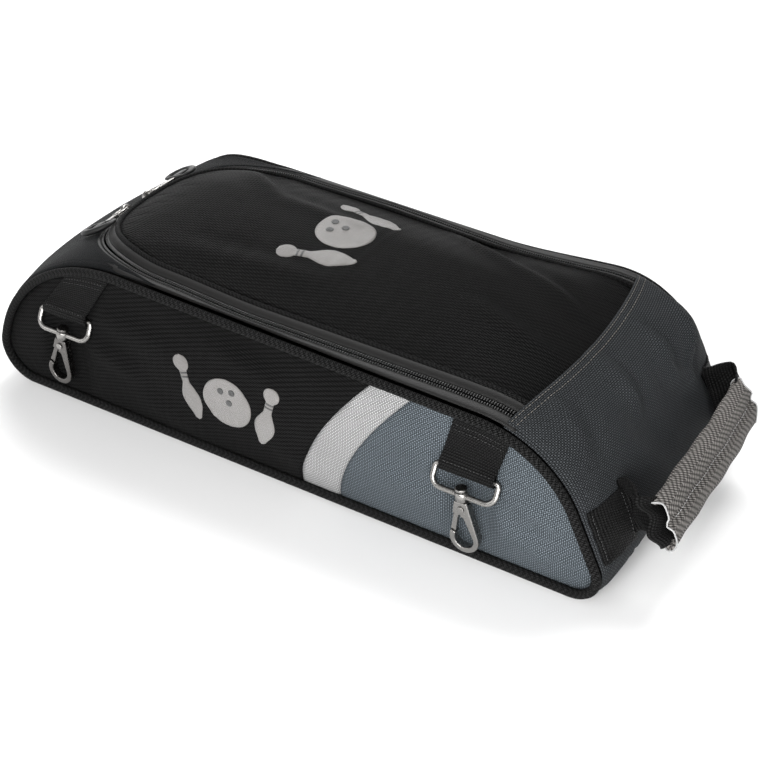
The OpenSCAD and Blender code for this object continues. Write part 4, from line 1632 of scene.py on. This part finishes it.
def stage():
    """Pale floor under a soft studio light."""
    mesh = bpy.data.meshes.new("floor")
    corners = [(-1, -1), (1, -1), (1, 1), (-1, 1)]
    points = [(FLOOR_REACH * x, FLOOR_REACH * y, -0.0006) for x, y in corners]
    mesh.from_pydata(points, [], [(0, 1, 2, 3)])
    floor = bpy.data.objects.new("floor", mesh)
    bpy.context.scene.collection.objects.link(floor)
    floor.data.materials.append(floor_paint())


def sky():
    """Soft light from above that fades towards the horizon, seen by the camera as plain white."""
    world = bpy.data.worlds.new("studio")
    bpy.context.scene.world = world
    world.use_nodes = True
    tree = world.node_tree
    direction = tree.nodes.new("ShaderNodeTexCoord").outputs["Generated"]
    split = tree.nodes.new("ShaderNodeSeparateXYZ")
    tree.links.new(direction, split.inputs[0])
    fade = tree.nodes.new("ShaderNodeMapRange")
    tree.links.new(split.outputs["Z"], fade.inputs["Value"])
    limits = {"From Min": 0.0, "From Max": 0.9, "To Min": SKY_LOW, "To Max": SKY_HIGH}
    for key, value in limits.items():
        fade.inputs[key].default_value = value
    seen = tree.nodes.new("ShaderNodeLightPath").outputs["Is Camera Ray"]
    strength = tree.nodes.new("ShaderNodeMath")
    strength.operation = "MAXIMUM"
    tree.links.new(fade.outputs[0], strength.inputs[0])
    tree.links.new(seen, strength.inputs[1])
    background = tree.nodes["Background"]
    background.inputs["Color"].default_value = grey(1.0)
    tree.links.new(strength.outputs[0], background.inputs["Strength"])


def softbox(name, place, target, size, power):
    data = bpy.data.lights.new(name, "AREA")
    data.shape = "RECTANGLE"
    data.size, data.size_y = size
    data.energy = power
    lamp = bpy.data.objects.new(name, data)
    bpy.context.scene.collection.objects.link(lamp)
    lamp.location = place
    aim = Vector(target) - Vector(place)
    lamp.rotation_mode = "QUATERNION"
    lamp.rotation_quaternion = aim.to_track_quat("-Z", "Y")


def lights():
    softbox("key", (0.45, -1.35, 0.75), (0.1, 0, 0.05), (0.8, 0.8), 25)
    softbox("top", (-0.2, 1.0, 1.6), (0, 0, 0.05), (1.4, 0.8), 34)
    softbox("fill", (-1.3, -1.4, 0.9), (0, 0, 0.05), (1.4, 1.0), 10)
    softbox("back", (-1.0, 1.1, 0.6), (0, 0, 0.05), (1.0, 0.6), 9)
    softbox("low", (0.6, -0.6, 0.12), (0.24, -0.1, 0.03), (0.3, 0.2), 2.2)


CAMERA_PLACE = (0.4575, -0.7276, 0.6372)
CAMERA_TARGET = (0.0254, -0.0073, 0.0319)
CAMERA_LENS = 69.1
CAMERA_ROLL = 0.23


def camera():
    data = bpy.data.cameras.new("camera")
    data.lens = CAMERA_LENS
    data.sensor_width = 36
    data.clip_start = 0.05
    cam = bpy.data.objects.new("camera", data)
    bpy.context.scene.collection.objects.link(cam)
    cam.location = CAMERA_PLACE
    aim = Vector(CAMERA_TARGET) - Vector(CAMERA_PLACE)
    cam.rotation_mode = "QUATERNION"
    roll = Matrix.Rotation(math.radians(CAMERA_ROLL), 4, "Z").to_quaternion()
    cam.rotation_quaternion = aim.to_track_quat("-Z", "Y") @ roll
    bpy.context.scene.camera = cam
    bpy.context.scene.view_settings.view_transform = "Standard"


# ---------------------------------------------------------------- build


def build():
    sheets = {}
    for side, sign in (("front", -1), ("rear", 1)):
        sheets[side] = side_panels(side, sign)
        side_piping(side, sign)
    panel = end_panel()
    toe_gusset()
    base()
    lining()
    rim()
    lid_edge()
    lid = lid_skin()
    lid_inside()
    emblems(sheets, lid)
    hinge_blend(lid)
    seam_stitches(panel)
    clips()
    handle(panel)
    sliders()
    for sheet in sheets.values():
        bpy.data.objects.remove(sheet)
    settle()
    stage()
    sky()
    lights()
    camera()


build()
